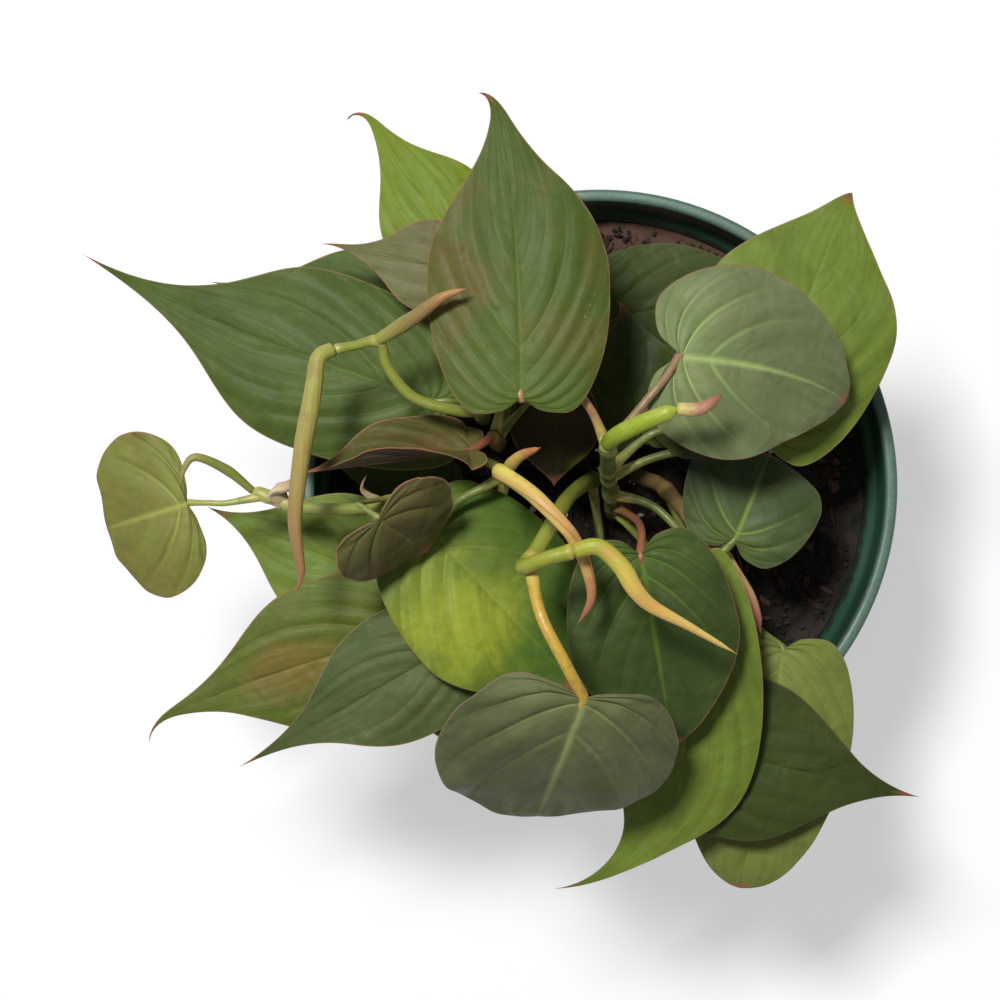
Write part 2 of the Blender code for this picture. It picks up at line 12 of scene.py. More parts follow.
import bmesh
import bpy
import numpy as np
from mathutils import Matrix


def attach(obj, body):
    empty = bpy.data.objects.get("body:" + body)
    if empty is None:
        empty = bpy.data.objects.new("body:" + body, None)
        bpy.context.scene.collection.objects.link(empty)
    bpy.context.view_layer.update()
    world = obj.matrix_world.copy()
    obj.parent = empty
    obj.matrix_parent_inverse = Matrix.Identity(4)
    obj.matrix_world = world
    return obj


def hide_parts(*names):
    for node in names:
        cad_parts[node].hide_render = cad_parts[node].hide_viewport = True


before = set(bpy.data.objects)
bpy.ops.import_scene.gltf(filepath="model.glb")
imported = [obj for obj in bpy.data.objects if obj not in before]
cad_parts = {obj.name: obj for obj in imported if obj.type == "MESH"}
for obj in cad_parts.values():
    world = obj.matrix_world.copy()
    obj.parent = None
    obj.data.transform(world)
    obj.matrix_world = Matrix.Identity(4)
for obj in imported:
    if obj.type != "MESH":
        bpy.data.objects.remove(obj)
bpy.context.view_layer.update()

print("measured nodes:", len(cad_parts))

# %% [markdown]
# ## Measures
# The pot is a common 6-inch round nursery pot. Places on the plant are in millimetres: x and y from the
# pot's axis and the height above its rim, as in the measured model, so the two agree closely.

# %% Measures shared by every piece
MM = 0.001
POT_HEIGHT = 112 * MM
RIM_RADIUS = 76 * MM
BASE_RADIUS = 53 * MM
POT_WALL = 1.5 * MM
FLOOR_FILLET = 3 * MM
RIM_BAND_HEIGHT = 13 * MM
RIM_BAND_STEP = 1.6 * MM
CORNER_ROUNDING = 1.2 * MM
DRAIN_HOLE_RADIUS = 4.5 * MM
DRAIN_HOLE_COUNT = 8
SOIL_BELOW_RIM = 18 * MM
SOIL_CROWN = 3 * MM
SOIL_LUMPS = 0.8 * MM
LUMP_X, LUMP_Y, LUMP_FINE = 7 * MM, 6 * MM, 4 * MM
VINE_RADIUS = 2.1 * MM
PETIOLE_RADIUS = 1.2 * MM
NOTCH_BACK = 0.45
NOTCH_SIDE = 0.11
LOBE_SIDE = 0.46
LOBE_FULLNESS = 0.55
SHOULDER_LENGTH = 0.42
TIP_START = 0.82
VEIN_ROOT_POWER = 1.9


@dataclass
class Vine:
    """A stem that rises from the soil at foot (x, y) through the points of its route.

    girth is its thickness at the foot and at the end, as shares of VINE_RADIUS.
    """
    name: str
    foot: tuple
    route: tuple
    girth: tuple = (1.0, 0.95)


@dataclass
class Leaf:
    """A heart-shaped blade on its petiole; lengths in millimetres, angles in degrees.

    The petiole leaves its host vine at a share of its length and goes via its places to the junction.
    There the midrib heads off at pitch and turns down by droop and sideways by sweep; its last part
    turns by hook and curl. roll tilts the blade about its midrib, fold lifts both halves and cup turns
    them down again. blunt is how full the blade still is just before its tip, look names its colours
    and stalk is the petiole's share of its usual thickness.
    """
    name: str
    host: str
    at: float
    via: tuple
    junction: tuple
    heading: float
    length: float
    width: float
    lobe: float = 7.0
    widest: float = 0.3
    acumen: float = 0.3
    pitch: float = -2.0
    droop: float = 12.0
    sweep: float = 0.0
    roll: float = 0.0
    fold: float = 6.0
    cup: float = 22.0
    hook: float = 0.0
    curl: float = 0.0
    blunt: float = 0.09
    # by default a leaf takes the shade look, a darker green painted for leaves in shade
    look: str = "shade"
    stalk: float = 0.85


@dataclass
class Shoot:
    """A rolled leaf, bud or bract: a spindle along a route, radius in millimetres at its widest."""
    name: str
    host: str
    at: float
    route: tuple
    radius: float
    profile: tuple = (0.75, 1.0, 0.7, 0.25)
    look: str = "shade"


# %% [markdown]
# ## The growth plan
# A vine is a foot on the soil and a few places on its way. A leaf is the place where its blade meets
# its petiole, and a handful of sizes and angles. One function then grows them all.

# %% The plan of vines, leaves and shoots
VINES = (
    Vine("vine_left", (-30, -4),
         ((-31, -3, 5), (-43, 0, 18), (-57, -5, 30), (-74, -5, 34), (-86, -1, 34)), (0.95, 0.7)),
    Vine("vine_back_left", (-30, 18),
         ((-30, 18, 22), (-31, 18, 46), (-36, 18, 53), (-46, 21, 55), (-52, 28, 57), (-54, 34, 59),
          (-60, 33, 61), (-65, 32, 62)), (1.0, 0.55)),
    Vine("vine_centre", (-24, 3), ((-24, 3, 20), (-25, 3, 56))),
    Vine("vine_front", (-1, 2),
         ((-4, 1, 12), (-9, -3, 32), (-13, -9, 47), (-18, -17, 58), (-20, -19, 63), (-15, -17, 68),
          (-8, -15, 70))),
    Vine("vine_right", (4, -7), ((3, -4, 6), (1, 3, 30), (0, 10, 58))),
    Vine("vine_low_right", (10, 3), ((12, 2, -8), (16, 0, -2), (23, -8, 8))),
    Vine("vine_middle", (-26, 11), ((-26, 11, 12), (-27, 12, 36))),
)

LEAVES = (
    Leaf("leaf_top", "vine_right", 0.94, ((-4, 18, 58), (-9, 23, 60), (-16, 24, 63)), (-20.5, 20.5, 66),
         heading=91, length=79, width=44, lobe=3.5, widest=0.36, acumen=0.34, sweep=14, fold=4,
         cup=26, hook=60, curl=70, look="bronze_green"),
    Leaf("leaf_round", "vine_right", 0.95, ((9, 20, 56), (14, 26, 55)), (17.5, 31, 54),
         heading=-6, length=48, width=47, acumen=0.1, pitch=-6, droop=30, sweep=-28, cup=24,
         hook=45, blunt=0.3, look="slate"),
    Leaf("leaf_front_round", "vine_front", 0.80, ((-16, -30, 66), (-10, -42, 66)), (-6, -50, 62),
         heading=-109, length=46, width=60, lobe=3, widest=0.44, acumen=0.06, pitch=-24, droop=36,
         roll=-20, fold=8, cup=26, hook=30, blunt=0.45, look="slate_olive", stalk=1.2),
    Leaf("leaf_far_left", "vine_left", 0.96, ((-92, -4, 35), (-97, -4, 35)), (-102, -4, 34),
         heading=-163, length=23, width=42, lobe=1.5, widest=0.48, acumen=0.03, pitch=-8, droop=20,
         hook=40, blunt=0.75, look="olive", stalk=0.6),
    Leaf("leaf_small_centre", "vine_left", 0.54, ((-59, -4, 42), (-58, -5, 52)), (-54, -8, 58),
         heading=-36, length=24, width=34, lobe=2.5, acumen=0.15, pitch=-46, droop=20, roll=14,
         fold=10, cup=20, blunt=0.25, look="bronze", stalk=0.55),
    Leaf("leaf_folded", "vine_middle", 1.00, ((-29, 11, 41),), (-33, 9, 44),
         heading=-172, length=42, width=20, lobe=4, widest=0.42, pitch=0, roll=46, fold=60, cup=0,
         look="folded", stalk=0.8),
    Leaf("leaf_centre", "vine_centre", 0.66, ((-29, 0, 36), (-36, -4, 36)), (-41.5, -12, 33),
         heading=-47, length=53, width=47, widest=0.42, acumen=0.12, droop=14, roll=-12, cup=24,
         blunt=0.3, look="lime"),
    Leaf("leaf_heart", "vine_right", 0.22, ((8, -8, 20), (9, -11, 34)), (8.5, -16.5, 42),
         heading=-80, length=51, width=42, lobe=5, widest=0.42, acumen=0.12, pitch=-4, droop=20,
         fold=8, cup=26, hook=30, blunt=0.35, look="slate_dark"),
    Leaf("leaf_olive", "vine_middle", 0.92, ((-24, 26, 42), (-19, 42, 45), (-20, 48, 46)), (-25, 50, 46),
         heading=170, length=46, width=23, lobe=6, widest=0.35, acumen=0.45, pitch=-5, sweep=-8,
         fold=8, curl=20, look="olive_grey"),
    Leaf("leaf_left_long", "vine_back_left", 0.30, ((-33, 20, 24), (-37, 21, 31)), (-42, 21, 32),
         heading=161, length=97, width=45, lobe=10, acumen=0.5, pitch=0, droop=18, sweep=-12,
         cup=24, look="green"),
    Leaf("leaf_lower_left", "vine_centre", 0.45, ((-27, -14, 20), (-29, -28, 25)), (-33, -37, 26),
         heading=-150, length=70, width=33, lobe=8, widest=0.26, acumen=0.5, droop=24, fold=12,
         cup=30, look="green_grey"),
    Leaf("leaf_small_right", "vine_right", 0.38, ((13, -5, 17), (23, -15, 21), (28, -17, 23)),
         (32.5, -13, 24),
         heading=66, length=24, width=35, lobe=4, widest=0.6, acumen=0.02, pitch=-6, droop=20,
         fold=10, cup=20, blunt=0.7, look="slate_small"),
    Leaf("leaf_top_left", "vine_middle", 0.62, ((-22, 26, 26), (-22, 38, 31)), (-27, 46, 32),
         heading=124, length=63, width=31, widest=0.32, acumen=0.42, pitch=-4, fold=5, hook=15,
         curl=125, look="lime_bright"),
    Leaf("leaf_reddish", "vine_centre", 0.30, ((-29, -16, 10), (-34, -30, 17)), (-43, -35, 18),
         heading=-164, length=80, width=39, lobe=9, acumen=0.45, sweep=10, roll=-8, cup=26, curl=60,
         look="reddish"),
    Leaf("leaf_curved", "vine_right", 0.14, ((9, -12, 8), (15, -19, 21)), (20, -22, 27.5),
         heading=-84, length=101, width=37, lobe=6, widest=0.42, acumen=0.42, pitch=-4, droop=26,
         sweep=-87, look="fresh"),
    Leaf("leaf_back_right", "vine_right", 0.56, ((12, 7, 28), (27, 11, 29)), (39, 18, 30),
         heading=68, length=64, width=50, lobe=9, widest=0.39, acumen=0.19, pitch=-4, fold=5,
         hook=70, curl=-30, blunt=0.06, look="fresh"),
    Leaf("leaf_left_back", "vine_back_left", 0.16, ((-32, 28, 14), (-34, 38, 19)), (-38, 43, 20),
         heading=172, length=62, width=27, widest=0.32, acumen=0.4, fold=5, look="green"),
    Leaf("leaf_left_low", "vine_left", 0.14, ((-38, -12, 9), (-44, -20, 12)), (-50, -26, 12),
         heading=157, length=54, width=36, acumen=0.35, pitch=0, droop=8, fold=5, cup=18,
         look="fresh"),
    Leaf("leaf_right_low", "vine_front", 0.10, ((2, -25, 2), (6, -48, 7), (10, -59, 12)), (17, -64, 14),
         heading=-13, length=67, width=42, lobe=8, widest=0.28, acumen=0.38, droop=16, fold=4,
         cup=24),
    Leaf("leaf_hanging", "vine_low_right", 0.55, ((24, -16, -2), (38, -34, 5)), (46, -41, 8),
         heading=-99, length=65, width=43, lobe=4, widest=0.36, acumen=0.0, droop=18, fold=5,
         cup=20, hook=30, blunt=0.5, look="light"),
    Leaf("leaf_strip", "vine_right", 0.12, ((0, 16, -4), (-6, 32, 4)), (-4, 41, 7),
         heading=12, length=55, width=34, lobe=6, widest=0.34, acumen=0.2, droop=6, fold=4, cup=16),
    Leaf("leaf_shade_back", "vine_right", 0.42, ((4, 9, 17),), (9, 14, 19),
         heading=97, length=34, width=25, lobe=5, widest=0.36, pitch=6, droop=10, cup=20, hook=60,
         curl=60),
    Leaf("leaf_shade_right", "vine_right", 0.66, ((12, 13, 32), (22, 14, 35)), (27, 18, 34),
         heading=183, length=20, width=22, lobe=4, widest=0.34, acumen=0.15, pitch=-4, droop=10,
         cup=20),
    Leaf("leaf_brown", "vine_middle", 0.80, ((-21, 18, 33), (-15, 24, 37)), (-12, 21, 36),
         heading=-90, length=27, width=22, lobe=5, widest=0.34, acumen=0.18, pitch=-34, droop=10,
         look="brown"),
    Leaf("leaf_shade_left", "vine_centre", 0.14, ((-28, 6, -2), (-34, 8, 3)), (-40, 8, 6),
         heading=180, length=34, width=24, lobe=5, widest=0.32, pitch=0, droop=8, fold=5, cup=18),
)

SHOOTS = (
    Shoot("tip_left", "vine_left", 1.0, ((-92, 4, 38), (-99, 7, 42), (-102, 4, 41), (-103, 0, 39)), 1.3,
          look="tip"),
    Shoot("bract_far", "vine_left", 0.90, ((-80, -1, 37), (-77, 0, 38.5), (-73, 1, 40)), 2.9,
          (0.7, 0.85, 1.0, 1.25), look="paper"),
    Shoot("bract_near", "vine_left", 0.60, ((-59, -1, 34), (-58, 3, 36)), 1.0, look="paper"),
    Shoot("bud_back_left", "vine_back_left", 0.90,
          ((-50, 37, 62), (-45, 40, 65), (-39, 44, 68), (-33, 46, 70)), 1.9, look="bud_olive"),
    Shoot("rolled_leaf_left", "vine_back_left", 1.0,
          ((-68, 30, 64), (-69, 24, 64), (-70, 18, 63), (-72, 8, 61), (-74, -8, 57), (-73, -21, 52),
           (-75, -26, 50)), 2.3, (0.8, 1.0, 0.7, 0.3), look="rolled_ochre"),
    Shoot("rolled_leaf_centre", "vine_centre", 1.0,
          ((-25, 3, 60), (-18, -2, 66), (-11, -9, 67), (-8, -13, 65), (-5, -20, 62), (-4, -27, 58),
           (-7, -33, 53)), 2.0, (1.0, 1.0, 0.7, 0.3), look="rolled_cream"),
    Shoot("horn_centre", "vine_centre", 0.92, ((-21, 7, 57), (-16, 9, 62)), 1.6, look="horn"),
    Shoot("rolled_leaf_front", "vine_front", 1.0,
          ((-4, -14, 71), (-1, -15, 71), (3, -19, 71), (6, -24, 70), (10, -28, 67), (19, -33, 62),
           (31, -40, 55)), 2.2, (0.9, 1.0, 0.45, 0.15), look="rolled_orange"),
    Shoot("sheath_right", "vine_right", 1.0, ((2, 12, 62), (8, 15, 67), (16, 18, 70)), 2.3,
          (0.9, 1.0, 0.9, 0.8), look="sheath_lime"),
    Shoot("bud_right", "sheath_right", 1.0, ((21, 18, 71), (26, 21, 70)), 1.7, (0.9, 1.0, 0.8, 0.4),
          look="bud_pink"),
    Shoot("sheath_low_right", "vine_low_right", 1.0,
          ((27, -13, 12), (32, -21, 16), (37, -29, 16), (40, -37, 13)), 2.8, (0.7, 1.0, 0.8, 0.3),
          look="sheath_pink"),
    Shoot("bract_foot", "vine_right", 0.18, ((7, -5, 2), (8, -4, 6)), 1.3, look="paper_brown"),
)

print("plan:", len(VINES), "vines,", len(LEAVES), "leaves,", len(SHOOTS), "shoots")

# %% [markdown]
# ## Shaping tools
# Vines, petioles and rolled leaves are all a ring carried along a smooth curve through a few places. A
# surface is always a grid of places, rows by columns, turned into four-sided faces in one step.

# %% Paths
def unit(vector):
    """The vector, or each row of vectors, at length 1."""
    return vector / np.linalg.norm(vector, axis=-1, keepdims=True)


def on_pot(point):
    """A place in millimetres and height above the rim, as metres in the pot's frame."""
    return np.array([point[0] * MM, point[1] * MM, POT_HEIGHT + point[2] * MM])


def smooth_path(points, step):
    """Places about one step apart on a Catmull-Rom curve: each stretch is the cubic that leaves a
    point along the line between its neighbours and arrives at the next point the same way."""
    points = np.asarray(points)
    ends = np.vstack([2 * points[0] - points[1], points, 2 * points[-1] - points[-2]])
    places = []
    for before, start, finish, after in zip(ends, ends[1:], ends[2:], ends[3:]):
        count = max(1, round(float(np.linalg.norm(finish - start)) / step))
        t = (np.arange(count) / count)[:, None]
        places.append(0.5 * (2 * start + (finish - before) * t
                             + (2 * before - 5 * start + 4 * finish - after) * t ** 2
                             + (3 * start - before - 3 * finish + after) * t ** 3))
    return np.vstack(places + [points[-1:]])


def reach_of(path):
    """The distance travelled along a path at each of its places."""
    return np.concatenate([[0.0], np.cumsum(np.linalg.norm(np.diff(path, axis=0), axis=1))])


def along(path, share):
    """The place at a share of the path's length, and the path's direction there."""
    reach = reach_of(path)
    place = np.array([np.interp(share * reach[-1], reach, path[:, k]) for k in range(3)])
    index = min(int(np.searchsorted(reach, share * reach[-1], side="right")) - 1, len(path) - 2)
    return place, unit(path[index + 1] - path[index])


print("a test path has", len(smooth_path([(0, 0, 0), (0.01, 0, 0.02)], MM)), "places")


# %% Grids, rings and meshes
WELD_DISTANCE = 0.002 * MM


def grid_faces(rows, columns, start=0, wrap=False):
    """The corners of the four-sided faces of a grid whose places are numbered row by row.

    A face joins place (r, c) to (r, c+1), (r+1, c+1) and (r+1, c); wrap joins the last column to
    the first."""
    r = np.arange(rows - 1)[:, None]
    c = np.arange(columns if wrap else columns - 1)[None, :]
    after = (c + 1) % columns
    corners = [r * columns + c, r * columns + after, (r + 1) * columns + after, (r + 1) * columns + c]
    return start + np.stack(corners, axis=-1).reshape(-1, 4)


def ring_frames(path, away=(0.31, 0.17, 0.93)):
    """Two directions square to the path at each of its places, carried along it without a twist."""
    tangents = unit(np.gradient(path, axis=0))
    side = unit(np.cross(tangents[0], away))
    sides = []
    for tangent in tangents:
        side = unit(side - tangent * (side @ tangent))
        sides.append(side)
    sides = np.array(sides)
    return tangents, sides, np.cross(tangents, sides)


def swept(path, radii, sides_count, squash=1.0, twist=0.0):
    """A ring carried along a path: place plus radius times (cos a, squash times sin a) in the ring's
    plane. radii is one number for each place, or a whole grid of them, places by angles, and twist
    turns the ring by an angle for each place. Both ends are closed by a ring of no size."""
    _, side, up = ring_frames(path)
    a = np.arange(sides_count) * 2 * math.pi / sides_count + np.reshape(twist, (-1, 1))
    radii = np.broadcast_to(np.asarray(radii).reshape(len(path), -1), (len(path), sides_count))
    ring = (path[:, None] + (radii * np.cos(a))[..., None] * side[:, None]
            + (radii * np.sin(a) * squash)[..., None] * up[:, None])
    first = np.broadcast_to(path[0], (1, sides_count, 3))
    last = np.broadcast_to(path[-1], (1, sides_count, 3))
    return np.concatenate([first, ring, last])


def swept_uv(path, sides_count):
    """For each place of a swept surface: the share of the turn, and the share of the length."""
    share = reach_of(path) / reach_of(path)[-1]
    share = np.concatenate([[0.0], share, [1.0]])
    turn = np.arange(sides_count) / sides_count
    return np.stack(np.broadcast_arrays(turn[None, :], share[:, None]), axis=-1)


def mesh_of(name, points, faces, maps=None, slots=None, weld=True):
    """A mesh from places, faces, maps (name to a pair of numbers for each place) and each face's
    material slot. Places that coincide, as at a pole, are merged and faces without area go."""
    mesh = bpy.data.meshes.new(name)
    mesh.from_pydata(np.asarray(points, float).reshape(-1, 3), [], np.asarray(faces).tolist())
    corner = np.empty(len(mesh.loops), np.int32)
    mesh.loops.foreach_get("vertex_index", corner)
    for label, values in (maps or {}).items():
        layer = mesh.uv_layers.new(name=label)
        layer.data.foreach_set("uv", np.asarray(values, np.float32).reshape(-1, 2)[corner].ravel())
    if slots is not None:
        mesh.polygons.foreach_set("material_index", np.asarray(slots, np.int32))
    if weld:
        work = bmesh.new()
        work.from_mesh(mesh)
        bmesh.ops.remove_doubles(work, verts=work.verts, dist=WELD_DISTANCE)
        bmesh.ops.dissolve_degenerate(work, edges=work.edges, dist=WELD_DISTANCE)
        bmesh.ops.recalc_face_normals(work, faces=work.faces)
        work.to_mesh(mesh)
        work.free()
    mesh.shade_smooth()
    return mesh


def put(name, mesh, materials, replaced=None):
    """Put a mesh in the scene as a piece: it rides on the plant's one body and stands for a node."""
    for made in materials:
        mesh.materials.append(made)
    piece = bpy.data.objects.new(name, mesh)
    bpy.context.scene.collection.objects.link(piece)
    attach(piece, "root")
    if replaced:
        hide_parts(replaced)
    return piece


print("a 3 by 3 grid has", len(grid_faces(3, 3)), "faces")

# %% [markdown]
# ## Finishes
# Each finish is a small graph of nodes that ends in one Principled shader, and a bench of helpers keeps
# it short. Colours are the 0 to 255 numbers of a paint chart, turned into the linear numbers shaders use.

# %% A bench for building finishes
def tone(red, green, blue):
    """A chart colour as linear light: each share s becomes ((s + 0.055) / 1.055) to the power 2.4."""
    share = np.array([red, green, blue]) / 255
    linear = np.where(share <= 0.04045, share / 12.92, ((share + 0.055) / 1.055) ** 2.4)
    return (*linear.tolist(), 1.0)


class Finish:
    """A material and short ways to add nodes to it. An input is a number or another node's output."""

    def __init__(self, name, roughness=0.6, **sockets):
        self.material = bpy.data.materials.new(name)
        self.material.use_nodes = True
        self.tree = self.material.node_tree
        self.shader = self.tree.nodes["Principled BSDF"]
        self.shader.inputs["Roughness"].default_value = roughness
        for socket, value in sockets.items():
            self.shader.inputs[socket.replace("_", " ")].default_value = value

    def node(self, kind, inputs=(), **settings):
        """A node with its settings and inputs, given by place or by name."""
        made = self.tree.nodes.new(kind)
        for key, value in settings.items():
            setattr(made, key, value)
        for key, value in (inputs.items() if isinstance(inputs, dict) else enumerate(inputs)):
            if value is None:
                continue
            if isinstance(value, bpy.types.NodeSocket):
                self.tree.links.new(value, made.inputs[key])
            else:
                made.inputs[key].default_value = value
        return made

    def math(self, operation, first, second=None, third=None):
        return self.node("ShaderNodeMath", (first, second, third), operation=operation).outputs[0]

    def times(self, *values):
        result = values[0]
        for value in values[1:]:
            result = self.math("MULTIPLY", result, value)
        return result

    def ramp(self, value, low, high, out_low=0.0, out_high=1.0):
        """A smooth step from out_low at low to out_high at high."""
        made = self.node("ShaderNodeMapRange", (value, low, high, out_low, out_high),
                         interpolation_type="SMOOTHSTEP")
        return made.outputs[0]

    def mix(self, share, first, second):
        """The first colour where share is 0, the second where it is 1: outputs or chart numbers."""
        first, second = (tone(*paint) if isinstance(paint, tuple) else paint for paint in (first, second))
        made = self.node("ShaderNodeMix", {0: share, 6: first, 7: second}, data_type="RGBA")
        return made.outputs[2]

    def over(self, skin, mask, low, high, amount, paint):
        """The paint laid over the skin: none where the mask is at low, amount of it at high."""
        return self.mix(self.ramp(mask, low, high, 0.0, amount), skin, paint)

    def place(self):
        return self.node("ShaderNodeTexCoord").outputs["Object"]

    def map(self, label):
        """The two numbers of a map: across and along."""
        layer = self.node("ShaderNodeUVMap", uv_map=label).outputs[0]
        return tuple(self.node("ShaderNodeSeparateXYZ", (layer,)).outputs)[:2]

    def noise(self, scale, detail=3.0, rough=0.5, where=None, stretch=None, warp=0.0):
        where = where or self.place()
        if stretch:
            where = self.node("ShaderNodeMapping", {"Vector": where, "Scale": stretch}).outputs[0]
        made = self.node("ShaderNodeTexNoise", {"Vector": where, "Scale": scale, "Detail": detail,
                                                "Roughness": rough, "Distortion": warp})
        return made.outputs[0]

    def colour(self, value):
        self.tree.links.new(value, self.shader.inputs["Base Color"])

    def rough(self, value):
        self.tree.links.new(value, self.shader.inputs["Roughness"])

    def bump(self, *layers):
        """Layers of (height output, distance in metres), each one riding on the one before."""
        normal = None
        for height, distance in layers:
            inputs = {"Strength": 1.0, "Distance": distance, "Height": height}
            if normal is not None:
                inputs["Normal"] = normal
            normal = self.node("ShaderNodeBump", inputs).outputs[0]
        self.tree.links.new(normal, self.shader.inputs["Normal"])


print("leaf green on the chart is", [round(v, 3) for v in tone(92, 106, 58)[:3]], "in linear light")

# %% [markdown]
# ## The pot
# A nursery pot is one thin moulded wall: a flat floor with a foot ring and drain holes, a tapered side,
# and a band that stiffens the rim. Its profile is turned about the axis as a grid, with rounded corners,
# and the drain holes are cut with Boolean modifiers, which are then applied.

# %% The pot's profile, turned
POT_SEGMENTS, HOLE_SEGMENTS = 144, 32
SHARP_ANGLE = math.radians(40)


def wall_radius(z):
    """Outer radius of the tapered wall at height z: a straight line from the base to below the rim."""
    top = RIM_RADIUS - RIM_BAND_STEP
    return BASE_RADIUS + (top - BASE_RADIUS) * z / POT_HEIGHT


def rounded(profile, radius, steps):
    """A profile with each inner corner replaced by a quadratic curve that starts and ends radius away
    from the corner, or a third of the way along a shorter side."""
    profile = np.asarray(profile, float)
    places = [profile[:1]]
    t = np.linspace(0, 1, steps)[:, None]
    for before, corner, after in zip(profile, profile[1:], profile[2:]):
        back, ahead = before - corner, after - corner
        start = corner + back * min(radius / np.linalg.norm(back), 1 / 3)
        finish = corner + ahead * min(radius / np.linalg.norm(ahead), 1 / 3)
        places.append((1 - t) ** 2 * start + 2 * (1 - t) * t * corner + t ** 2 * finish)
    return np.vstack(places + [profile[-1:]])


def turned(profile, segments):
    """A profile (radius, height) turned about Z: place (r cos a, r sin a, z) for each angle a."""
    a = np.arange(segments) * 2 * math.pi / segments
    r, z = profile[:, :1], profile[:, 1:]
    return np.stack(np.broadcast_arrays(r * np.cos(a), r * np.sin(a), z), axis=-1)


def turned_mesh(name, profile, segments):
    """The turned profile as a closed mesh; a profile that starts and ends on the axis closes itself."""
    grid = turned(profile, segments)
    return mesh_of(name, grid, grid_faces(*grid.shape[:2], wrap=True))


band_low = POT_HEIGHT - RIM_BAND_HEIGHT
lip = POT_WALL + RIM_BAND_STEP
foot_ring, recess = BASE_RADIUS - 5 * MM, 0.7 * MM
inner_low = POT_WALL + FLOOR_FILLET
corners = [
    (0, recess), (foot_ring - CORNER_ROUNDING, recess), (foot_ring, 0), (BASE_RADIUS - 0.3 * POT_WALL, 0),
    (BASE_RADIUS + 0.1 * POT_WALL, POT_WALL), (wall_radius(band_low), band_low),
    (RIM_RADIUS - 0.4 * MM, band_low), (RIM_RADIUS - 0.1 * MM, band_low + RIM_BAND_STEP),
    (RIM_RADIUS, POT_HEIGHT), (RIM_RADIUS - lip, POT_HEIGHT), (RIM_RADIUS - lip - 0.5 * MM, band_low),
    (wall_radius(band_low - 2 * MM) - POT_WALL, band_low - 2 * MM),
    (wall_radius(inner_low) - POT_WALL, inner_low),
    (BASE_RADIUS - POT_WALL - FLOOR_FILLET, POT_WALL), (0, POT_WALL)]
pot_mesh = turned_mesh("pot_wall", rounded(corners, CORNER_ROUNDING, 5), POT_SEGMENTS)
print("pot wall before drilling:", len(pot_mesh.polygons), "faces")


# %% Drill the drain holes
def applied(piece, name):
    """The piece's mesh with its modifiers applied; the piece itself is removed."""
    shaped = bpy.data.meshes.new_from_object(piece.evaluated_get(bpy.context.evaluated_depsgraph_get()))
    shaped.name = name
    bpy.data.objects.remove(piece)
    return shaped


blank = bpy.data.objects.new("pot_blank", pot_mesh)
bpy.context.scene.collection.objects.link(blank)
drills = []
reach = BASE_RADIUS - 3 * DRAIN_HOLE_RADIUS
bit = np.array([(0, -POT_WALL), (DRAIN_HOLE_RADIUS, -POT_WALL), (DRAIN_HOLE_RADIUS, 2 * POT_WALL),
                (0, 2 * POT_WALL)])
for number in range(DRAIN_HOLE_COUNT):
    turn = 2 * math.pi * (number + 0.5) / DRAIN_HOLE_COUNT
    drill = bpy.data.objects.new(f"drill_{number}", turned_mesh("drill", bit, HOLE_SEGMENTS))
    drill.location = (reach * math.cos(turn), reach * math.sin(turn), 0)
    bpy.context.scene.collection.objects.link(drill)
    cut = blank.modifiers.new("cut", "BOOLEAN")
    cut.operation, cut.solver, cut.object = "DIFFERENCE", "EXACT", drill
    drills.append(drill)
bpy.context.view_layer.update()
drilled = applied(blank, "pot_drilled")
for drill in drills:
    bpy.data.objects.remove(drill)
drilled.materials.clear()
drilled.shade_smooth()
drilled.set_sharp_from_angle(angle=SHARP_ANGLE)
print("pot with drain holes:", len(drilled.polygons), "faces")

# %% [markdown]
# ### Green moulded plastic
# The plastic is a dark bottle green with faint rings and flow marks from the mould. Potting dust dulls
# the inside wall near the soil, and a pale painted highlight lies on the rim top: both follow the height.

# %% The pot's finish
def pot_plastic():
    """Bottle green with a painted highlight, broken by noise, on the rim, dusted with soil inside near
    the fill line.
    """
    f = Finish("pot_plastic", 0.42)
    x, y, z = f.node("ShaderNodeSeparateXYZ", (f.place(),)).outputs
    radius = f.math("SQRT", f.math("ADD", f.times(x, x), f.times(y, y)))
    wall = f.math("MULTIPLY_ADD", z, (RIM_RADIUS - RIM_BAND_STEP - BASE_RADIUS) / POT_HEIGHT,
                  BASE_RADIUS - 0.7 * POT_WALL)
    inside = f.math("LESS_THAN", radius, wall)
    speckle = f.noise(900, 4, 0.7)
    cloud = f.noise(28, 4, 0.6, warp=0.6)
    flow = f.noise(60, 2, 0.5, stretch=(1.0, 1.0, 0.12))
    base = f.mix(f.ramp(cloud, 0.3, 0.75), (28, 58, 43), (38, 72, 54))
    base = f.mix(f.times(f.ramp(flow, 0.5, 0.75), 0.35), base, (52, 88, 70))
    # painted highlight: the top 4 mm of the rim is mixed towards a pale green, broken by noise
    painted_rim_highlight = f.times(f.ramp(z, POT_HEIGHT - 4 * MM, POT_HEIGHT - 0.5 * MM),
                    f.ramp(speckle, 0.25, 0.7, 0.55, 1.0))
    base = f.mix(f.times(painted_rim_highlight, 0.32), base, (112, 140, 122))
    fill = POT_HEIGHT - SOIL_BELOW_RIM
    dust = f.times(inside, f.ramp(z, fill + 9 * MM, fill + 1 * MM),
                   f.ramp(f.noise(160, 5, 0.75), 0.42, 0.62))
    base = f.mix(f.times(dust, 0.8), base, (38, 28, 20))
    splash = f.times(f.ramp(f.noise(420, 3, 0.6), 0.66, 0.72), f.ramp(z, 0.0, 60 * MM, 0.5, 0.0))
    f.colour(f.mix(splash, base, (74, 66, 52)))
    f.rough(f.ramp(f.noise(75, 3, 0.6), 0.3, 0.8, 0.36, 0.56))
    rings = f.math("SINE", f.times(z, 2 * math.pi / (1.1 * MM)))
    f.bump((rings, 0.006 * MM), (speckle, 0.05 * MM), (dust, 0.25 * MM))
    return f.material


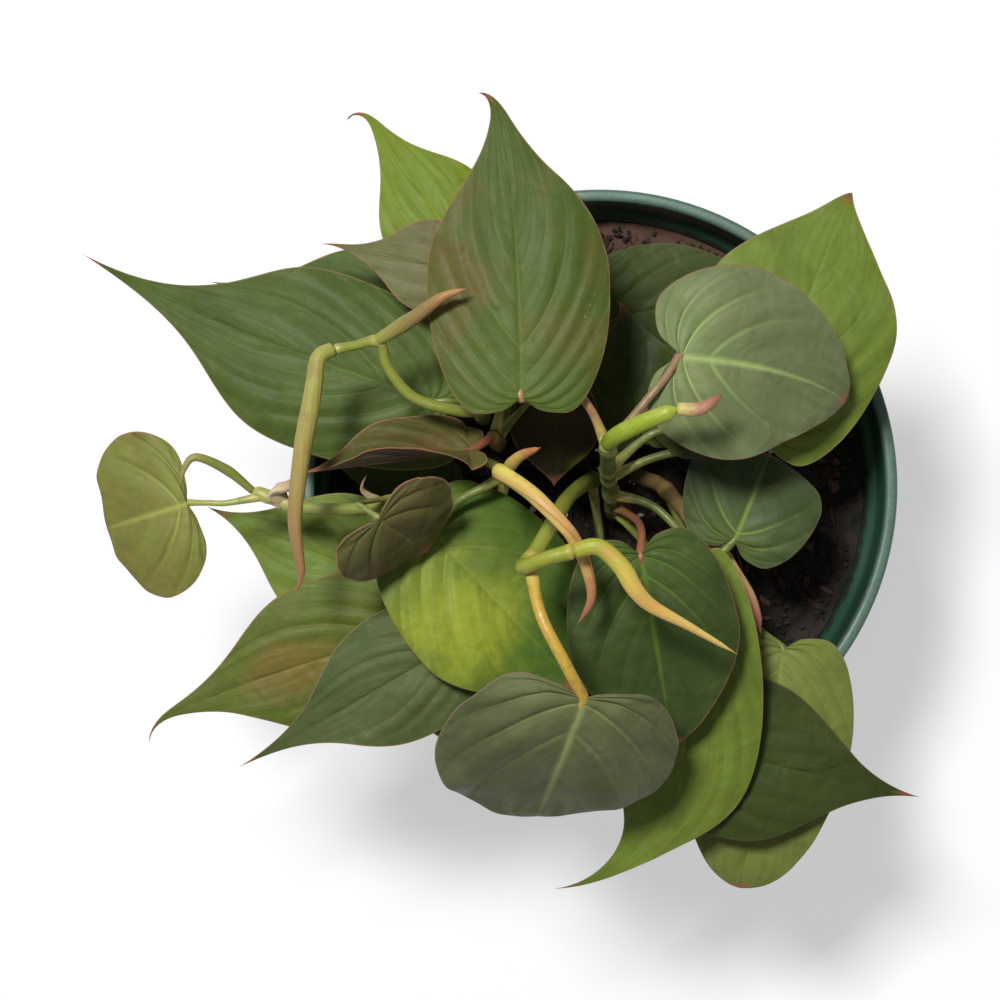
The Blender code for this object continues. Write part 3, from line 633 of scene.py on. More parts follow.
pot = put("pot_shell", drilled, [pot_plastic()], "pot")
print("pot stands", round(max(v.co.z for v in pot.data.vertices) * 1000, 1), "mm tall")

# %% [markdown]
# ## The soil
# Houseplant mix is dark peat with shredded bark, torn fibres and a few white grains of perlite. The
# ground is a lumpy surface, and thousands of small loose bodies lie on it. Each loose kind is one rough
# lump, copied by array maths with its own size and turn.

# %% The lumpy ground
SOIL_RINGS, SOIL_SEGMENTS = 110, 240
WALL_GAP = 0.3 * MM


def soil_height(x, y):
    """Height of the soil at x, y: the fill line, a low crown and slow waves along both ways."""
    level = POT_HEIGHT - SOIL_BELOW_RIM
    inside = wall_radius(level) - POT_WALL
    crown = SOIL_CROWN * (1 - (x * x + y * y) / inside ** 2)
    lumps = np.sin(x / LUMP_X) * np.cos(y / LUMP_Y) + 0.5 * np.sin((x + 2 * y) / LUMP_FINE)
    return level + crown + SOIL_LUMPS * lumps


def ripples(x, y, coarse, fine, count, seed):
    """A rough field without pattern: the mean of many cosine waves of random direction and phase,
    whose lengths run from coarse to fine."""
    draw = np.random.default_rng(seed)
    length = np.geomspace(coarse, fine, count)
    turn = draw.uniform(0, 2 * math.pi, count)
    phase = draw.uniform(0, 2 * math.pi, count)
    wave = 2 * math.pi / length * (x[..., None] * np.cos(turn) + y[..., None] * np.sin(turn)) + phase
    weight = (length / coarse) ** 0.7
    return (weight * np.cos(wave)).sum(axis=-1) / math.sqrt((weight ** 2).sum())


def ground_height(x, y):
    """The soil's height with crumbs' roughness: slow waves plus ripples from 9 mm down to 1.3 mm."""
    return soil_height(x, y) + 0.55 * MM * ripples(x, y, 9 * MM, 1.3 * MM, 36, 5)


def soil_mesh():
    """The filled pot: under side, tapered side and top rings, whose places take the ground's height."""
    level = POT_HEIGHT - SOIL_BELOW_RIM
    edge = wall_radius(level) - POT_WALL - 0.1 * MM
    low = [(0, POT_WALL + WALL_GAP), (BASE_RADIUS - 7 * MM, POT_WALL + WALL_GAP),
           (wall_radius(inner_low) - POT_WALL - 2 * WALL_GAP, inner_low + WALL_GAP)]
    side = [(wall_radius(z) - POT_WALL - WALL_GAP, z) for z in np.linspace(12 * MM, level - 2 * MM, 8)]
    top = [(r, level) for r in edge * np.sqrt(np.linspace(1, 0, SOIL_RINGS))]
    grid = turned(np.array(low + side + top), SOIL_SEGMENTS)
    upper = grid[len(low + side):]
    upper[..., 2] = ground_height(upper[..., 0], upper[..., 1])
    upper[-1] = upper[-1, :1]
    return mesh_of("soil_ground", grid, grid_faces(*grid.shape[:2], wrap=True))


# %% Loose bodies scattered on the ground
def lump(sides, rings):
    """A round lump of a few faces: rings of sides places on a ball, closed by its two poles."""
    v = np.linspace(0, math.pi, rings + 1)[:, None]
    u = np.arange(sides)[None, :] * 2 * math.pi / sides
    ball = np.broadcast_arrays(np.sin(v) * np.cos(u), np.sin(v) * np.sin(u), -np.cos(v))
    grid = np.stack(ball, axis=-1)
    middle = grid[1:-1].reshape(-1, 3)
    points = np.vstack([[[0, 0, -1]], middle, [[0, 0, 1]]])
    k, after = np.arange(sides), (np.arange(sides) + 1) % sides
    last = 1 + (rings - 2) * sides
    zero, top = np.zeros(sides, int), np.full(sides, len(points) - 1)
    triangles = [np.stack([zero, 1 + after, 1 + k], axis=1),
                 np.stack([last + k, last + after, top], axis=1)]
    quads = grid_faces(rings - 1, sides, 1, wrap=True)
    split = np.vstack([quads[:, [0, 1, 2]], quads[:, [0, 2, 3]]])
    return points, np.vstack(triangles + [split])


def turns(angles):
    """One rotation for each row of three angles: about Z, then Y, then X."""
    (cx, cy, cz), (sx, sy, sz) = np.cos(angles).T, np.sin(angles).T
    return np.stack([np.stack([cz * cy, cz * sy * sx - sz * cx, cz * sy * cx + sz * sx], axis=-1),
                     np.stack([sz * cy, sz * sy * sx + cz * cx, sz * sy * cx - cz * sx], axis=-1),
                     np.stack([-sy, cy * sx, cy * cx], axis=-1)], axis=-2)


@dataclass
class Loose:
    """One kind of loose body: count copies of a lump of so many sides and rings. Each copy has its own
    three half sizes in millimetres, between least and most. ragged pulls its corners in or out, tilt
    limits how it leans and sink is how much of its half height is under the ground. dark, light and
    fleck are its colours and skin names its finish."""
    name: str
    skin: str
    sides: int
    rings: int
    count: int
    least: tuple
    most: tuple
    ragged: float
    tilt: float
    sink: float
    seed: int
    dark: tuple
    light: tuple
    roughness: float
    grain: float = 900
    fleck: tuple = ()


def scattered(kind):
    """All copies of one kind as one mesh, each at its own place, turned about Z at will."""
    draw = np.random.default_rng(kind.seed)
    points, faces = lump(kind.sides, kind.rings)
    count, least, most = kind.count, np.array(kind.least) * MM, np.array(kind.most) * MM
    inside = wall_radius(POT_HEIGHT - SOIL_BELOW_RIM) - POT_WALL - most[0]
    reach = inside * np.sqrt(draw.uniform(0, 1, count))
    turn = draw.uniform(0, 2 * math.pi, count)
    x, y = reach * np.cos(turn), reach * np.sin(turn)
    half = draw.uniform(least, most, (count, 3))
    body = points[None] * (1 + kind.ragged * draw.uniform(-1, 1, (count, len(points), 1))) * half[:, None]
    angles = draw.uniform(-1, 1, (count, 3)) * [kind.tilt, kind.tilt, math.pi]
    body = np.einsum("nij,nkj->nki", turns(angles), body)
    centre = np.stack([x, y, ground_height(x, y) + half[:, 2] * (1 - kind.sink)], axis=-1)
    chance = np.repeat(draw.uniform(0, 1, (count, 1, 2)), len(points), axis=1)
    numbers = (faces[None] + np.arange(count)[:, None, None] * len(points)).reshape(-1, 3)
    mesh = mesh_of(kind.name, body + centre[:, None], numbers, {"own": chance}, weld=False)
    mesh.shade_flat()
    return mesh


# %% [markdown]
# ### Peat, bark and perlite
# Damp peat is nearly black. Bark chips run from black-brown to a warm red-brown, each its own shade, so
# every copy carries two random numbers in a map that the finish reads.

# %% The soil's finishes
def peat():
    """Two dark browns clouded by noise, dried to a lighter brown at the far wall, with crumbs in the
    bump and damp patches that shine a little."""
    f = Finish("peat", 0.92)
    dry = f.ramp(f.node("ShaderNodeSeparateXYZ", (f.place(),)).outputs[1], 52 * MM, 66 * MM)
    grain = f.noise(1300, 5, 0.75)
    cloud = f.noise(120, 4, 0.7)
    base = f.mix(f.ramp(cloud, 0.35, 0.7), (15, 9, 6), (34, 23, 16))
    base = f.mix(f.times(dry, f.ramp(grain, 0.3, 0.6, 0.35, 0.9)), base, (92, 64, 47))
    f.colour(f.mix(f.ramp(grain, 0.55, 0.75), base, (54, 37, 27)))
    f.rough(f.ramp(f.noise(50, 3, 0.5), 0.4, 0.7, 0.78, 0.97))
    f.bump((cloud, 0.8 * MM), (grain, 0.5 * MM))
    return f.material


def loose_finish(kind):
    """A loose body's finish: its own random number picks a shade, grain darkens and roughens it."""
    f = Finish(kind.skin, kind.roughness)
    own, other = f.map("own")
    grain = f.noise(kind.grain, 4, 0.7, stretch=(1.0, 0.3, 1.0))
    shade = f.mix(f.ramp(own, 0.15, 1.0), kind.dark, kind.light)
    if kind.fleck:
        shade = f.mix(f.ramp(other, 0.82, 0.86), shade, kind.fleck)
    f.colour(f.over(shade, grain, 0.35, 0.7, 0.6, kind.dark))
    f.bump((grain, 0.25 * MM))
    return f.material


LOOSE_KINDS = (
    Loose("soil_crumbs", "crumb", 5, 3, 3400, (0.4, 0.4, 0.4), (1.4, 1.1, 0.9), ragged=0.35, tilt=3.0,
          sink=0.5, seed=11, dark=(14, 9, 6), light=(50, 34, 24), roughness=0.95),
    Loose("bark_chips", "bark", 6, 3, 520, (1.0, 0.6, 0.4), (3.2, 1.5, 0.9), ragged=0.3, tilt=0.7,
          sink=0.35, seed=23, dark=(22, 14, 10), light=(74, 46, 33), roughness=0.88, grain=500,
          fleck=(96, 62, 42)),
    Loose("perlite_grains", "perlite", 7, 5, 46, (0.5, 0.5, 0.5), (1.1, 1.1, 1.1), ragged=0.16, tilt=3.0,
          sink=0.35, seed=37, dark=(206, 202, 194), light=(236, 233, 226), roughness=0.8, grain=1600),
    Loose("bark_fibres", "fibre", 4, 4, 260, (2.5, 0.14, 0.12), (6.0, 0.35, 0.3), ragged=0.2, tilt=0.45,
          sink=-1.5, seed=41, dark=(46, 29, 20), light=(112, 72, 48), roughness=0.88),
)
put("soil_ground", soil_mesh(), [peat()], "soil")
for kind in LOOSE_KINDS:
    lying = put(kind.name, scattered(kind), [loose_finish(kind)])
    print(kind.count, kind.name, "with", len(lying.data.polygons), "faces")

# %% [markdown]
# ## The vines
# A vine is a smooth green stem that thickens at every node, where a leaf or a shoot leaves it and an
# old leaf scar rings it. Each vine starts a little under the soil, so it comes out of the mix.

# %% Grow the vines
VINE_SIDES = 14
NODE_SWELL, SCAR_DEPTH = 0.35 * MM, 0.1 * MM


def vine_path(vine):
    """The vine's centre line from the soil's surface to its end, in steps of 1 mm."""
    x, y = (value * MM for value in vine.foot)
    foot = np.array([x, y, float(soil_height(x, y)) + 2 * SOIL_LUMPS + 0.3 * MM])
    return smooth_path([foot] + [on_pot(point) for point in vine.route], 1 * MM)


def nodes_on(vine_name):
    """Shares of the vine's length where leaves and shoots leave it."""
    return [piece.at for piece in LEAVES + SHOOTS if piece.host == vine_name]


def vine_surface(vine, path):
    """Radius = VINE_RADIUS times girth times (0.94 + slow waves) + NODE_SWELL times a bell at each node,
    with a thin ring cut just past it. The end narrows to a rounded cap."""
    reach = reach_of(path)
    bell, scar = np.zeros(len(path)), np.zeros(len(path))
    for share in nodes_on(vine.name):
        bell = np.maximum(bell, np.exp(-((reach - share * reach[-1]) / (2.2 * MM)) ** 2))
        scar = np.maximum(scar, np.exp(-((reach - share * reach[-1] - 2.6 * MM) / (0.5 * MM)) ** 2))
    radius = VINE_RADIUS * np.interp(reach, (0, reach[-1]), vine.girth)
    radius = radius * (0.94 + 0.03 * np.sin(reach / (9 * MM)) + 0.02 * np.sin(reach / (4.1 * MM) + 1))
    radius = radius + NODE_SWELL * bell - SCAR_DEPTH * scar
    cap = np.clip((reach[-1] - reach) / (1.6 * MM), 0, 1)
    radius = radius * np.sqrt(1 - (1 - cap) ** 2 * 0.85)
    below = path[0] + np.outer(np.linspace(9 * MM, 1 * MM, 8), [0, 0, -1.0])
    full = np.vstack([below, path])
    radius = np.concatenate([np.full(len(below), radius[0] * 1.05), radius])
    a = np.arange(VINE_SIDES) * 2 * math.pi / VINE_SIDES
    ribs = 1 + 0.03 * np.cos(3 * a[None, :] + full[:, 2:] / (12 * MM))
    grid = swept(full, radius[:, None] * ribs, VINE_SIDES)
    mask = np.concatenate([[0.0], np.zeros(len(below)), bell, [bell[-1]]])
    share = np.concatenate([[0.0], np.zeros(len(below)), reach / reach[-1], [1.0]])
    marks = np.stack(np.broadcast_arrays(mask[:, None], share[:, None]), axis=-1)
    return grid, np.broadcast_to(marks, (*grid.shape[:2], 2))


def stem_finish(name, low, high, node_colour, roughness=0.42):
    """A stem's skin: low at the soil to high at the tip, its own colour at the nodes, with fine
    lengthwise streaks and brown breathing pores."""
    f = Finish(name, roughness, Subsurface_Weight=0.08, Subsurface_Scale=0.002)
    node, share = f.map("marks")
    streak = f.noise(700, 3, 0.6, stretch=(1.0, 1.0, 0.08))
    skin = f.mix(f.ramp(share, 0.0, 0.9), low, high)
    skin = f.over(skin, streak, 0.35, 0.7, 0.45, f.mix(0.45, low, node_colour))
    skin = f.over(skin, node, 0.3, 1.0, 0.6, node_colour)
    pore = f.ramp(f.noise(1500, 2, 0.5), 0.68, 0.74)
    f.colour(f.mix(f.times(pore, 0.3), skin, (96, 74, 44)))
    f.rough(f.ramp(streak, 0.3, 0.7, roughness - 0.06, roughness + 0.12))
    f.bump((streak, 0.12 * MM), (f.noise(300, 3, 0.5), 0.2 * MM))
    return f.material


VINE_SKINS = {
    "vine_left": ((92, 106, 44), (126, 136, 62), (168, 160, 98)),
    "vine_back_left": ((66, 78, 22), (118, 126, 42), (168, 158, 80)),
    "vine_centre": ((84, 84, 34), (164, 158, 62), (186, 172, 88)),
    "vine_front": ((76, 88, 30), (132, 140, 40), (182, 160, 78)),
    "vine_right": ((56, 64, 24), (84, 100, 28), (166, 166, 100)),
    "vine_low_right": ((92, 76, 44), (146, 122, 70), (176, 146, 90)),
    "vine_middle": ((66, 54, 30), (98, 64, 40), (128, 88, 52)),
}

hosts = {}
for vine in VINES:
    path = vine_path(vine)
    hosts[vine.name] = path
    grid, marks = vine_surface(vine, path)
    mesh = mesh_of(vine.name, grid, grid_faces(*grid.shape[:2], wrap=True), {"marks": marks})
    skin = stem_finish(vine.name + "_skin", *VINE_SKINS[vine.name])
    put(vine.name.replace("vine", "stem"), mesh, [skin], vine.name)
print("vines grown:", ", ".join(hosts))

# %% [markdown]
# ## The rolled new leaves, sheaths and bracts
# A new leaf comes out rolled like a paper tube, and its free edge shows as a seam that winds along it:
# the ring's radius grows a little round the ring and drops back at the seam. A dry bract, the papery
# scale of an older bud, is the same ring pressed flat and wrinkled.

# %% Grow the shoots
ROLL_SIDES = 22
ROLL_STEP, ROLL_START, ROLL_WIND = 0.22, 2.6, 3.2


def shoot_path(shoot):
    """From the host's centre line through the shoot's route, in steps of 0.8 mm."""
    start, _ = along(hosts[shoot.host], shoot.at)
    return smooth_path([start] + [on_pot(point) for point in shoot.route], 0.8 * MM)


def rolled_surface(shoot, path, papery):
    """Radius = widest times the profile at this share of the length, times (1 + ROLL_STEP (t - 1/2)),
    where t is how far round from the seam; the ring turns along the way, so the seam winds. The last
    tenth narrows to a point. A papery one is pressed to 0.45 of its height and wrinkled by waves."""
    share = reach_of(path) / reach_of(path)[-1]
    size = shoot.radius * MM * np.interp(share, (0, 0.3, 0.7, 1), shoot.profile)
    size = size * np.clip((1 - share) / 0.10, 0.16, 1) ** 0.8
    turn = np.arange(ROLL_SIDES) / ROLL_SIDES
    roll = 1 + ROLL_STEP * (turn[None, :] - 0.5)
    if papery:
        roll = 1 + 0.16 * np.sin(6 * math.pi * turn)[None, :] * np.sin(9 * share + 1)[:, None]
    squash, wind = 0.45 if papery else 0.92, ROLL_START - ROLL_WIND * share
    grid = swept(path, size[:, None] * roll, ROLL_SIDES, squash, wind)
    return grid, swept_uv(path, ROLL_SIDES)


def shoot_finish(name, base, middle, tip, blush, papery=False):
    """Three colours along the length, a blush that gathers at the seam and along lengthwise veins."""
    f = Finish(name, 0.7 if papery else 0.45, Subsurface_Weight=0.12, Subsurface_Scale=0.002)
    seam, share = f.map("marks")
    skin = f.mix(f.ramp(share, 0.45, 0.98), f.mix(f.ramp(share, 0.03, 0.5), base, middle), tip)
    edge = f.ramp(seam, 0.62, 0.97)
    line = f.math("SINE", f.times(seam, 2 * math.pi * 11))
    cloud = f.noise(150, 4, 0.65)
    amount = f.math("MAXIMUM", f.times(edge, 0.6), f.times(f.ramp(cloud, 0.45, 0.72), 0.5))
    amount = f.math("MAXIMUM", amount, f.ramp(line, 0.5, 1.0, 0.0, 0.1))
    f.colour(f.mix(amount, skin, blush))
    f.rough(f.ramp(cloud, 0.3, 0.7, 0.4, 0.85 if papery else 0.66))
    f.bump((line, 0.02 * MM), (f.noise(900, 3, 0.6), 0.07 * MM))
    return f.material


SHOOT_SKINS = {
    "rolled_ochre": ((140, 142, 62), (146, 132, 70), (150, 112, 70), (128, 88, 58)),
    "rolled_cream": ((190, 186, 82), (204, 172, 92), (160, 98, 72), (156, 92, 66)),
    "rolled_orange": ((132, 150, 32), (206, 168, 84), (204, 190, 104), (190, 106, 64)),
    "sheath_lime": ((112, 130, 20), (128, 148, 24), (140, 152, 44), (156, 160, 74)),
    "bud_pink": ((178, 168, 100), (160, 120, 88), (138, 88, 70), (130, 72, 58)),
    "sheath_pink": ((180, 172, 84), (186, 156, 96), (160, 96, 78), (160, 96, 76)),
    "bud_olive": ((128, 130, 56), (122, 104, 58), (158, 112, 62), (118, 74, 50)),
    "tip": ((118, 126, 54), (116, 126, 50), (150, 140, 80), (126, 96, 62)),
    "horn": ((146, 140, 56), (168, 146, 72), (158, 98, 62), (146, 80, 52)),
    "paper": ((166, 146, 108), (188, 170, 138), (156, 122, 90), (132, 98, 70)),
    "paper_brown": ((120, 76, 44), (140, 92, 52), (98, 60, 38), (78, 48, 32)),
}

for shoot in SHOOTS:
    papery = shoot.look.startswith("paper")
    path = shoot_path(shoot)
    hosts[shoot.name] = path
    grid, marks = rolled_surface(shoot, path, papery)
    mesh = mesh_of(shoot.name, grid, grid_faces(*grid.shape[:2], wrap=True), {"marks": marks})
    skin = shoot_finish(shoot.name + "_skin", *SHOOT_SKINS[shoot.look], papery)
    put(shoot.name + "_piece", mesh, [skin], shoot.name)
print("shoots grown:", len(SHOOTS))

# %% [markdown]
# ## The leaves
# A velvet-leaf blade is heart-shaped with a drawn-out tip. Its side veins curve forward and lie a little
# sunk, so the blade between them is softly quilted; the under side carries them as ridges. One formula
# maps a grid, from margin over the midrib to margin and from notch to tip, onto every blade.

# %% The blade's outline and midrib
NOTCH_STEPS, LOBE_STEPS, SIDE_STEPS = 9, 26, 53


def bezier(start, leave, arrive, finish, count):
    """Places at equal steps of a cubic Bezier curve, without its last one."""
    t = (np.arange(count) / count)[:, None]
    start, leave, arrive, finish = (np.array(p, float) for p in (start, leave, arrive, finish))
    return ((1 - t) ** 3 * start + 3 * (1 - t) ** 2 * t * leave
            + 3 * (1 - t) * t ** 2 * arrive + t ** 3 * finish)


def half_outline(leaf):
    """The left margin of the flat blade: x along the midrib from the junction and y to its left, as
    three Bezier curves from the notch round the lobe's back and the widest place to the tip."""
    length, half, lobe = leaf.length * MM, leaf.width * MM / 2, leaf.lobe * MM
    wide = leaf.widest * length
    notch = (-NOTCH_BACK * lobe, NOTCH_SIDE * half)
    notch_end = (-(1 + NOTCH_BACK) / 2 * lobe, 1.3 * NOTCH_SIDE * half)
    back = (-lobe, LOBE_SIDE * half)
    widest = (wide, half)
    shoulder = (wide + SHOULDER_LENGTH * (length - wide), half)
    tip = (length, 0.0)
    drawn = (length * (1 - leaf.acumen), leaf.blunt * half)
    return np.vstack([
        bezier(notch, notch_end, (-lobe, LOBE_SIDE / 2 * half), back, NOTCH_STEPS),
        bezier(back, (-lobe, (1 + LOBE_SIDE) / 2 * half), (wide - LOBE_FULLNESS * (wide + lobe), half),
               widest, LOBE_STEPS),
        bezier(widest, shoulder, drawn, tip, SIDE_STEPS),
        [tip]])


def midrib_frames(leaf, x):
    """Places on the midrib at distances x from the junction, with its left and upward directions: the
    heading and the rise are written as formulas of x and added up step by step."""
    length = leaf.length * MM
    run = np.linspace(-leaf.lobe * MM, length, 240)
    share = run / length
    last = np.clip((share - TIP_START) / (1 - TIP_START), 0, 1) ** 2
    rise = np.radians(leaf.pitch - leaf.droop * share - leaf.hook * last)
    turn = np.radians(leaf.heading + leaf.sweep * share * np.abs(share) + leaf.curl * last)
    ahead = np.stack([np.cos(rise) * np.cos(turn), np.cos(rise) * np.sin(turn), np.sin(rise)], axis=1)
    left = np.stack([-np.sin(turn), np.cos(turn), 0 * turn], axis=1)
    above = np.cross(ahead, left)
    roll = math.radians(leaf.roll)
    left, above = (math.cos(roll) * left + math.sin(roll) * above,
                   math.cos(roll) * above - math.sin(roll) * left)
    steps = (ahead[1:] + ahead[:-1]) / 2 * np.diff(run)[:, None]
    places = np.vstack([[0, 0, 0], np.cumsum(steps, axis=0)])
    places += on_pot(leaf.junction) - [np.interp(0, run, places[:, k]) for k in range(3)]

    def at(values):
        return np.stack([np.interp(x, run, values[:, k]) for k in range(3)], axis=-1)
    return at(places), at(left), at(above)


# %% The blade as one grid
BLADE_THICK = 0.5 * MM
VEIN_CURVE = 0.28
VEINS_END = (0.62, 0.42)
VEIN_HALF_WIDTH = 0.085
PUFF, TROUGH = 0.62 * MM, 0.54 * MM
MARGIN_WAVE, SLOW_WAVE, SLOW_RIPPLE = 0.4 * MM, 0.9 * MM, 0.35 * MM
GROOVE, KEEL, RIDGE = 0.26 * MM, 0.75 * MM, 0.22 * MM
USUAL_HALF_WIDTH = 22 * MM
BLADE_SEED = 700
one_side = np.concatenate([[0, 0.012, 0.03, 0.055, 0.09], np.linspace(0.14, 0.90, 15),
                           [0.945, 0.975, 0.99, 1.0]])
across = np.concatenate([-one_side[:0:-1], one_side])


def vein_count(leaf):
    """Side veins on each half: one for about every 9 mm of blade, between 5 and 9."""
    return int(np.clip(round(leaf.length / 9) + 1, 5, 9))


def blade_grids(leaf, index):
    """The upper and the lower face of the blade, with their maps.

    Column s runs from -1 at the right margin to 1 at the left, row v from the notch to the tip by share
    of the margin's length. A ray joins the midrib at r = length (x/length)^VEIN_ROOT_POWER to the margin
    place (x, y), and the place on it is r + (x - r) |s| along and y s across. Each half leans by
    2 fold sqrt(q (1 - q)) - cup |y|/half/2, with q the share of the length. The face puffs up between
    the veins, sinks at them and waves at the margin. The edge map holds the distance in from the margin
    in centimetres and ten times the ray's length in metres."""
    margin = half_outline(leaf)
    length, half = leaf.length * MM, leaf.width * MM / 2
    v = (reach_of(margin) / reach_of(margin)[-1])[:, None]
    margin_x, margin_y = margin[:, :1], margin[:, 1:]
    root = length * (np.clip(margin_x, 0, None) / length) ** VEIN_ROOT_POWER
    s, u = across[None, :], np.abs(across)[None, :]
    x = root + (margin_x - root) * u
    y = margin_y * s
    share = np.clip(x / length, 0, 1)
    lean = np.radians(leaf.fold * 2 * np.sqrt(share * (1 - share)) - leaf.cup * np.abs(y) / half / 2)
    place, left, above = midrib_frames(leaf, x)
    sense = np.sign(s)
    flat = place + left * (y * np.cos(lean))[..., None] + above * (np.abs(y) * np.sin(lean))[..., None]
    normal = above * np.cos(lean)[..., None] - left * (sense * np.sin(lean))[..., None]

    phase = np.random.default_rng(BLADE_SEED + index).uniform(0, 2 * math.pi, 6)
    origin = v - VEIN_CURVE * u ** 1.5
    near = np.abs(vein_count(leaf) * origin % 1.0 - 0.5)
    kept = np.interp(-origin, (-VEINS_END[0], -VEINS_END[1]), (0, 1))
    size = half / USUAL_HALF_WIDTH
    shrink = np.clip(margin_y / half * 3, 0, 1) * np.sin(math.pi * np.clip(v, 0, 1)) ** 0.4
    trough = kept * np.exp(-((0.5 - near) / VEIN_HALF_WIDTH) ** 2)
    body = np.sin(math.pi * np.clip(u * 0.96 + 0.04, 0, 1)) ** 0.8
    quilt = shrink * body * size * (PUFF * kept * np.cos(math.pi * near) - TROUGH * trough)
    round_v = 2 * math.pi * v
    waves = (np.sin(3.1 * round_v * sense + phase[0]) + 0.6 * np.sin(5.3 * round_v + phase[1] * sense)
             + 0.3 * np.sin(9 * round_v + phase[2] * sense))
    slow = (SLOW_WAVE * np.sin(y / half * 2.6 + phase[3]) * np.sin(x / length * 6 + phase[4])
            + SLOW_RIPPLE * np.sin(y / half * 5 + 7 * x / length + phase[5])) * u
    shared = quilt + shrink * size * (MARGIN_WAVE * u ** 3 * waves + slow)
    thick = BLADE_THICK * (1 - 0.5 * u ** 6)
    open_end = np.clip(margin_y / half * 4, 0, 1)
    groove = np.exp(-(y / (0.75 * MM)) ** 2) * (1 - 0.75 * share) * open_end
    keel = np.exp(-(y / (0.9 * MM)) ** 2) * (1 - 0.85 * share) * open_end
    upper = flat + normal * (shared + thick / 2 - GROOVE * groove)[..., None]
    lower = flat + normal * (shared - thick / 2 - KEEL * keel - RIDGE * shrink * body * trough)[..., None]
    vein_map = np.stack(np.broadcast_arrays(s * 0.5 + 0.5, v), axis=-1)
    flat_map = np.stack([x / length * 0.5 + 0.25, y / half * 0.25 + 0.5], axis=-1)
    ray = np.hypot(margin_x - root, margin_y)
    edge_map = np.stack(np.broadcast_arrays((1 - u) * ray * 100, ray * 10), axis=-1)
    return upper, lower, vein_map, flat_map, edge_map


def shell(upper, lower):
    """The faces of a closed leaf: the upper grid, the lower grid turned over, and the strips that join
    them round both margins and the notch."""
    rows, columns = upper.shape[:2]
    number = np.arange(rows * columns).reshape(rows, columns)
    under = number + rows * columns
    top = grid_faces(rows, columns)[:, ::-1]
    low = grid_faces(rows, columns, rows * columns)

    def strip(a, b):
        return np.stack([a[:-1], b[:-1], b[1:], a[1:]], axis=1)
    rim = np.vstack([strip(number[:, 0], under[:, 0])[:, ::-1], strip(number[:, -1], under[:, -1]),
                     strip(number[0], under[0])])
    return top, low, rim


print("one blade grid has", len(half_outline(LEAVES[0])), "rows and", len(across), "columns")

# %% [markdown]
# ### Velvet blades and their colours
# The veins are paler than the blade and brightest where they meet, and a thin pink-brown line edges
# every margin. Young leaves are yellower and older ones slate green. A look is this set of colours. The
# finish reads the blade's own map, so the painted veins lie exactly in the sunk ones.

# %% The looks
@dataclass
class Look:
    """The colours of one kind of leaf, and how strong its marks are. patch is a place on the blade, as
    a share of the length and of the half width, with its size, and takes patch_colour."""
    base: tuple
    mottle: tuple
    vein: tuple
    margin: tuple
    under: tuple = (112, 116, 78)
    petiole: tuple = (98, 108, 44)
    mottling: float = 0.5
    veining: float = 0.3
    sheen: float = 0.04
    patch: tuple = (0.5, 0.0, 0.0)
    patch_colour: tuple = (150, 100, 60)
    patch_share: float = 0.6


LOOKS = {
    "bronze_green": Look((67, 84, 31), (94, 78, 37), (97, 112, 48), (146, 96, 76), petiole=(150, 112, 76),
                         veining=0.25, patch=(0.30, 0.85, 0.42), patch_colour=(96, 80, 42),
                         patch_share=0.42),
    "slate": Look((94, 105, 68), (112, 121, 84), (143, 162, 97), (132, 92, 78), petiole=(128, 104, 70),
                  veining=0.85, sheen=0.08),
    "slate_olive": Look((77, 83, 53), (101, 102, 71), (130, 136, 83), (124, 96, 76),
                        petiole=(176, 144, 52), veining=0.8, sheen=0.07),
    "slate_dark": Look((49, 64, 26), (63, 77, 36), (91, 116, 40), (124, 84, 68), petiole=(134, 84, 56),
                       veining=0.6, sheen=0.06),
    "slate_small": Look((56, 70, 38), (68, 82, 47), (112, 130, 58), (96, 84, 60), veining=0.8,
                        sheen=0.06),
    "olive": Look((106, 110, 50), (110, 95, 50), (140, 146, 74), (150, 96, 78), petiole=(140, 146, 70),
                  veining=0.8, mottling=0.6),
    "olive_grey": Look((96, 96, 60), (83, 77, 46), (110, 110, 68), (138, 94, 76), (112, 74, 52)),
    "bronze": Look((72, 72, 36), (90, 72, 46), (108, 104, 56), (150, 104, 84), (108, 74, 52),
                   petiole=(128, 130, 64), veining=0.5),
    "folded": Look((76, 75, 32), (85, 56, 32), (101, 90, 44), (150, 96, 78), (76, 44, 30),
                   petiole=(120, 66, 44), mottling=0.95),
    "lime": Look((66, 92, 30), (71, 91, 30), (121, 136, 58), (116, 98, 56), patch=(0.36, -0.45, 0.62),
                 patch_colour=(140, 148, 44), patch_share=0.9),
    "green": Look((69, 86, 34), (56, 71, 29), (93, 108, 51), (140, 110, 76), veining=0.25),
    "green_grey": Look((69, 82, 42), (82, 92, 53), (100, 112, 63), (140, 104, 76), veining=0.25,
                       sheen=0.06),
    "lime_bright": Look((100, 119, 30), (84, 104, 26), (142, 152, 50), (140, 110, 58), veining=0.35),
    "reddish": Look((82, 94, 34), (97, 101, 50), (118, 120, 52), (150, 96, 68), patch=(0.45, 0.0, 0.34),
                    patch_colour=(116, 88, 42)),
    "fresh": Look((95, 113, 40), (78, 94, 29), (127, 141, 59), (138, 112, 72)),
    # painted shade: the shade look is a darker green for the leaves that lie in shade under the others
    "shade": Look((52, 65, 24), (40, 50, 19), (74, 87, 36), (84, 72, 46)),
    "light": Look((99, 109, 49), (84, 95, 42), (126, 136, 68), (116, 102, 72)),
    "brown": Look((39, 34, 13), (56, 36, 18), (71, 65, 27), (130, 86, 68), patch=(0.75, 0.7, 0.35),
                  patch_colour=(120, 126, 36)),
}
TIP_BROWN = (138, 84, 58)
STALK_BASE = (176, 170, 84)
print("looks:", len(LOOKS))


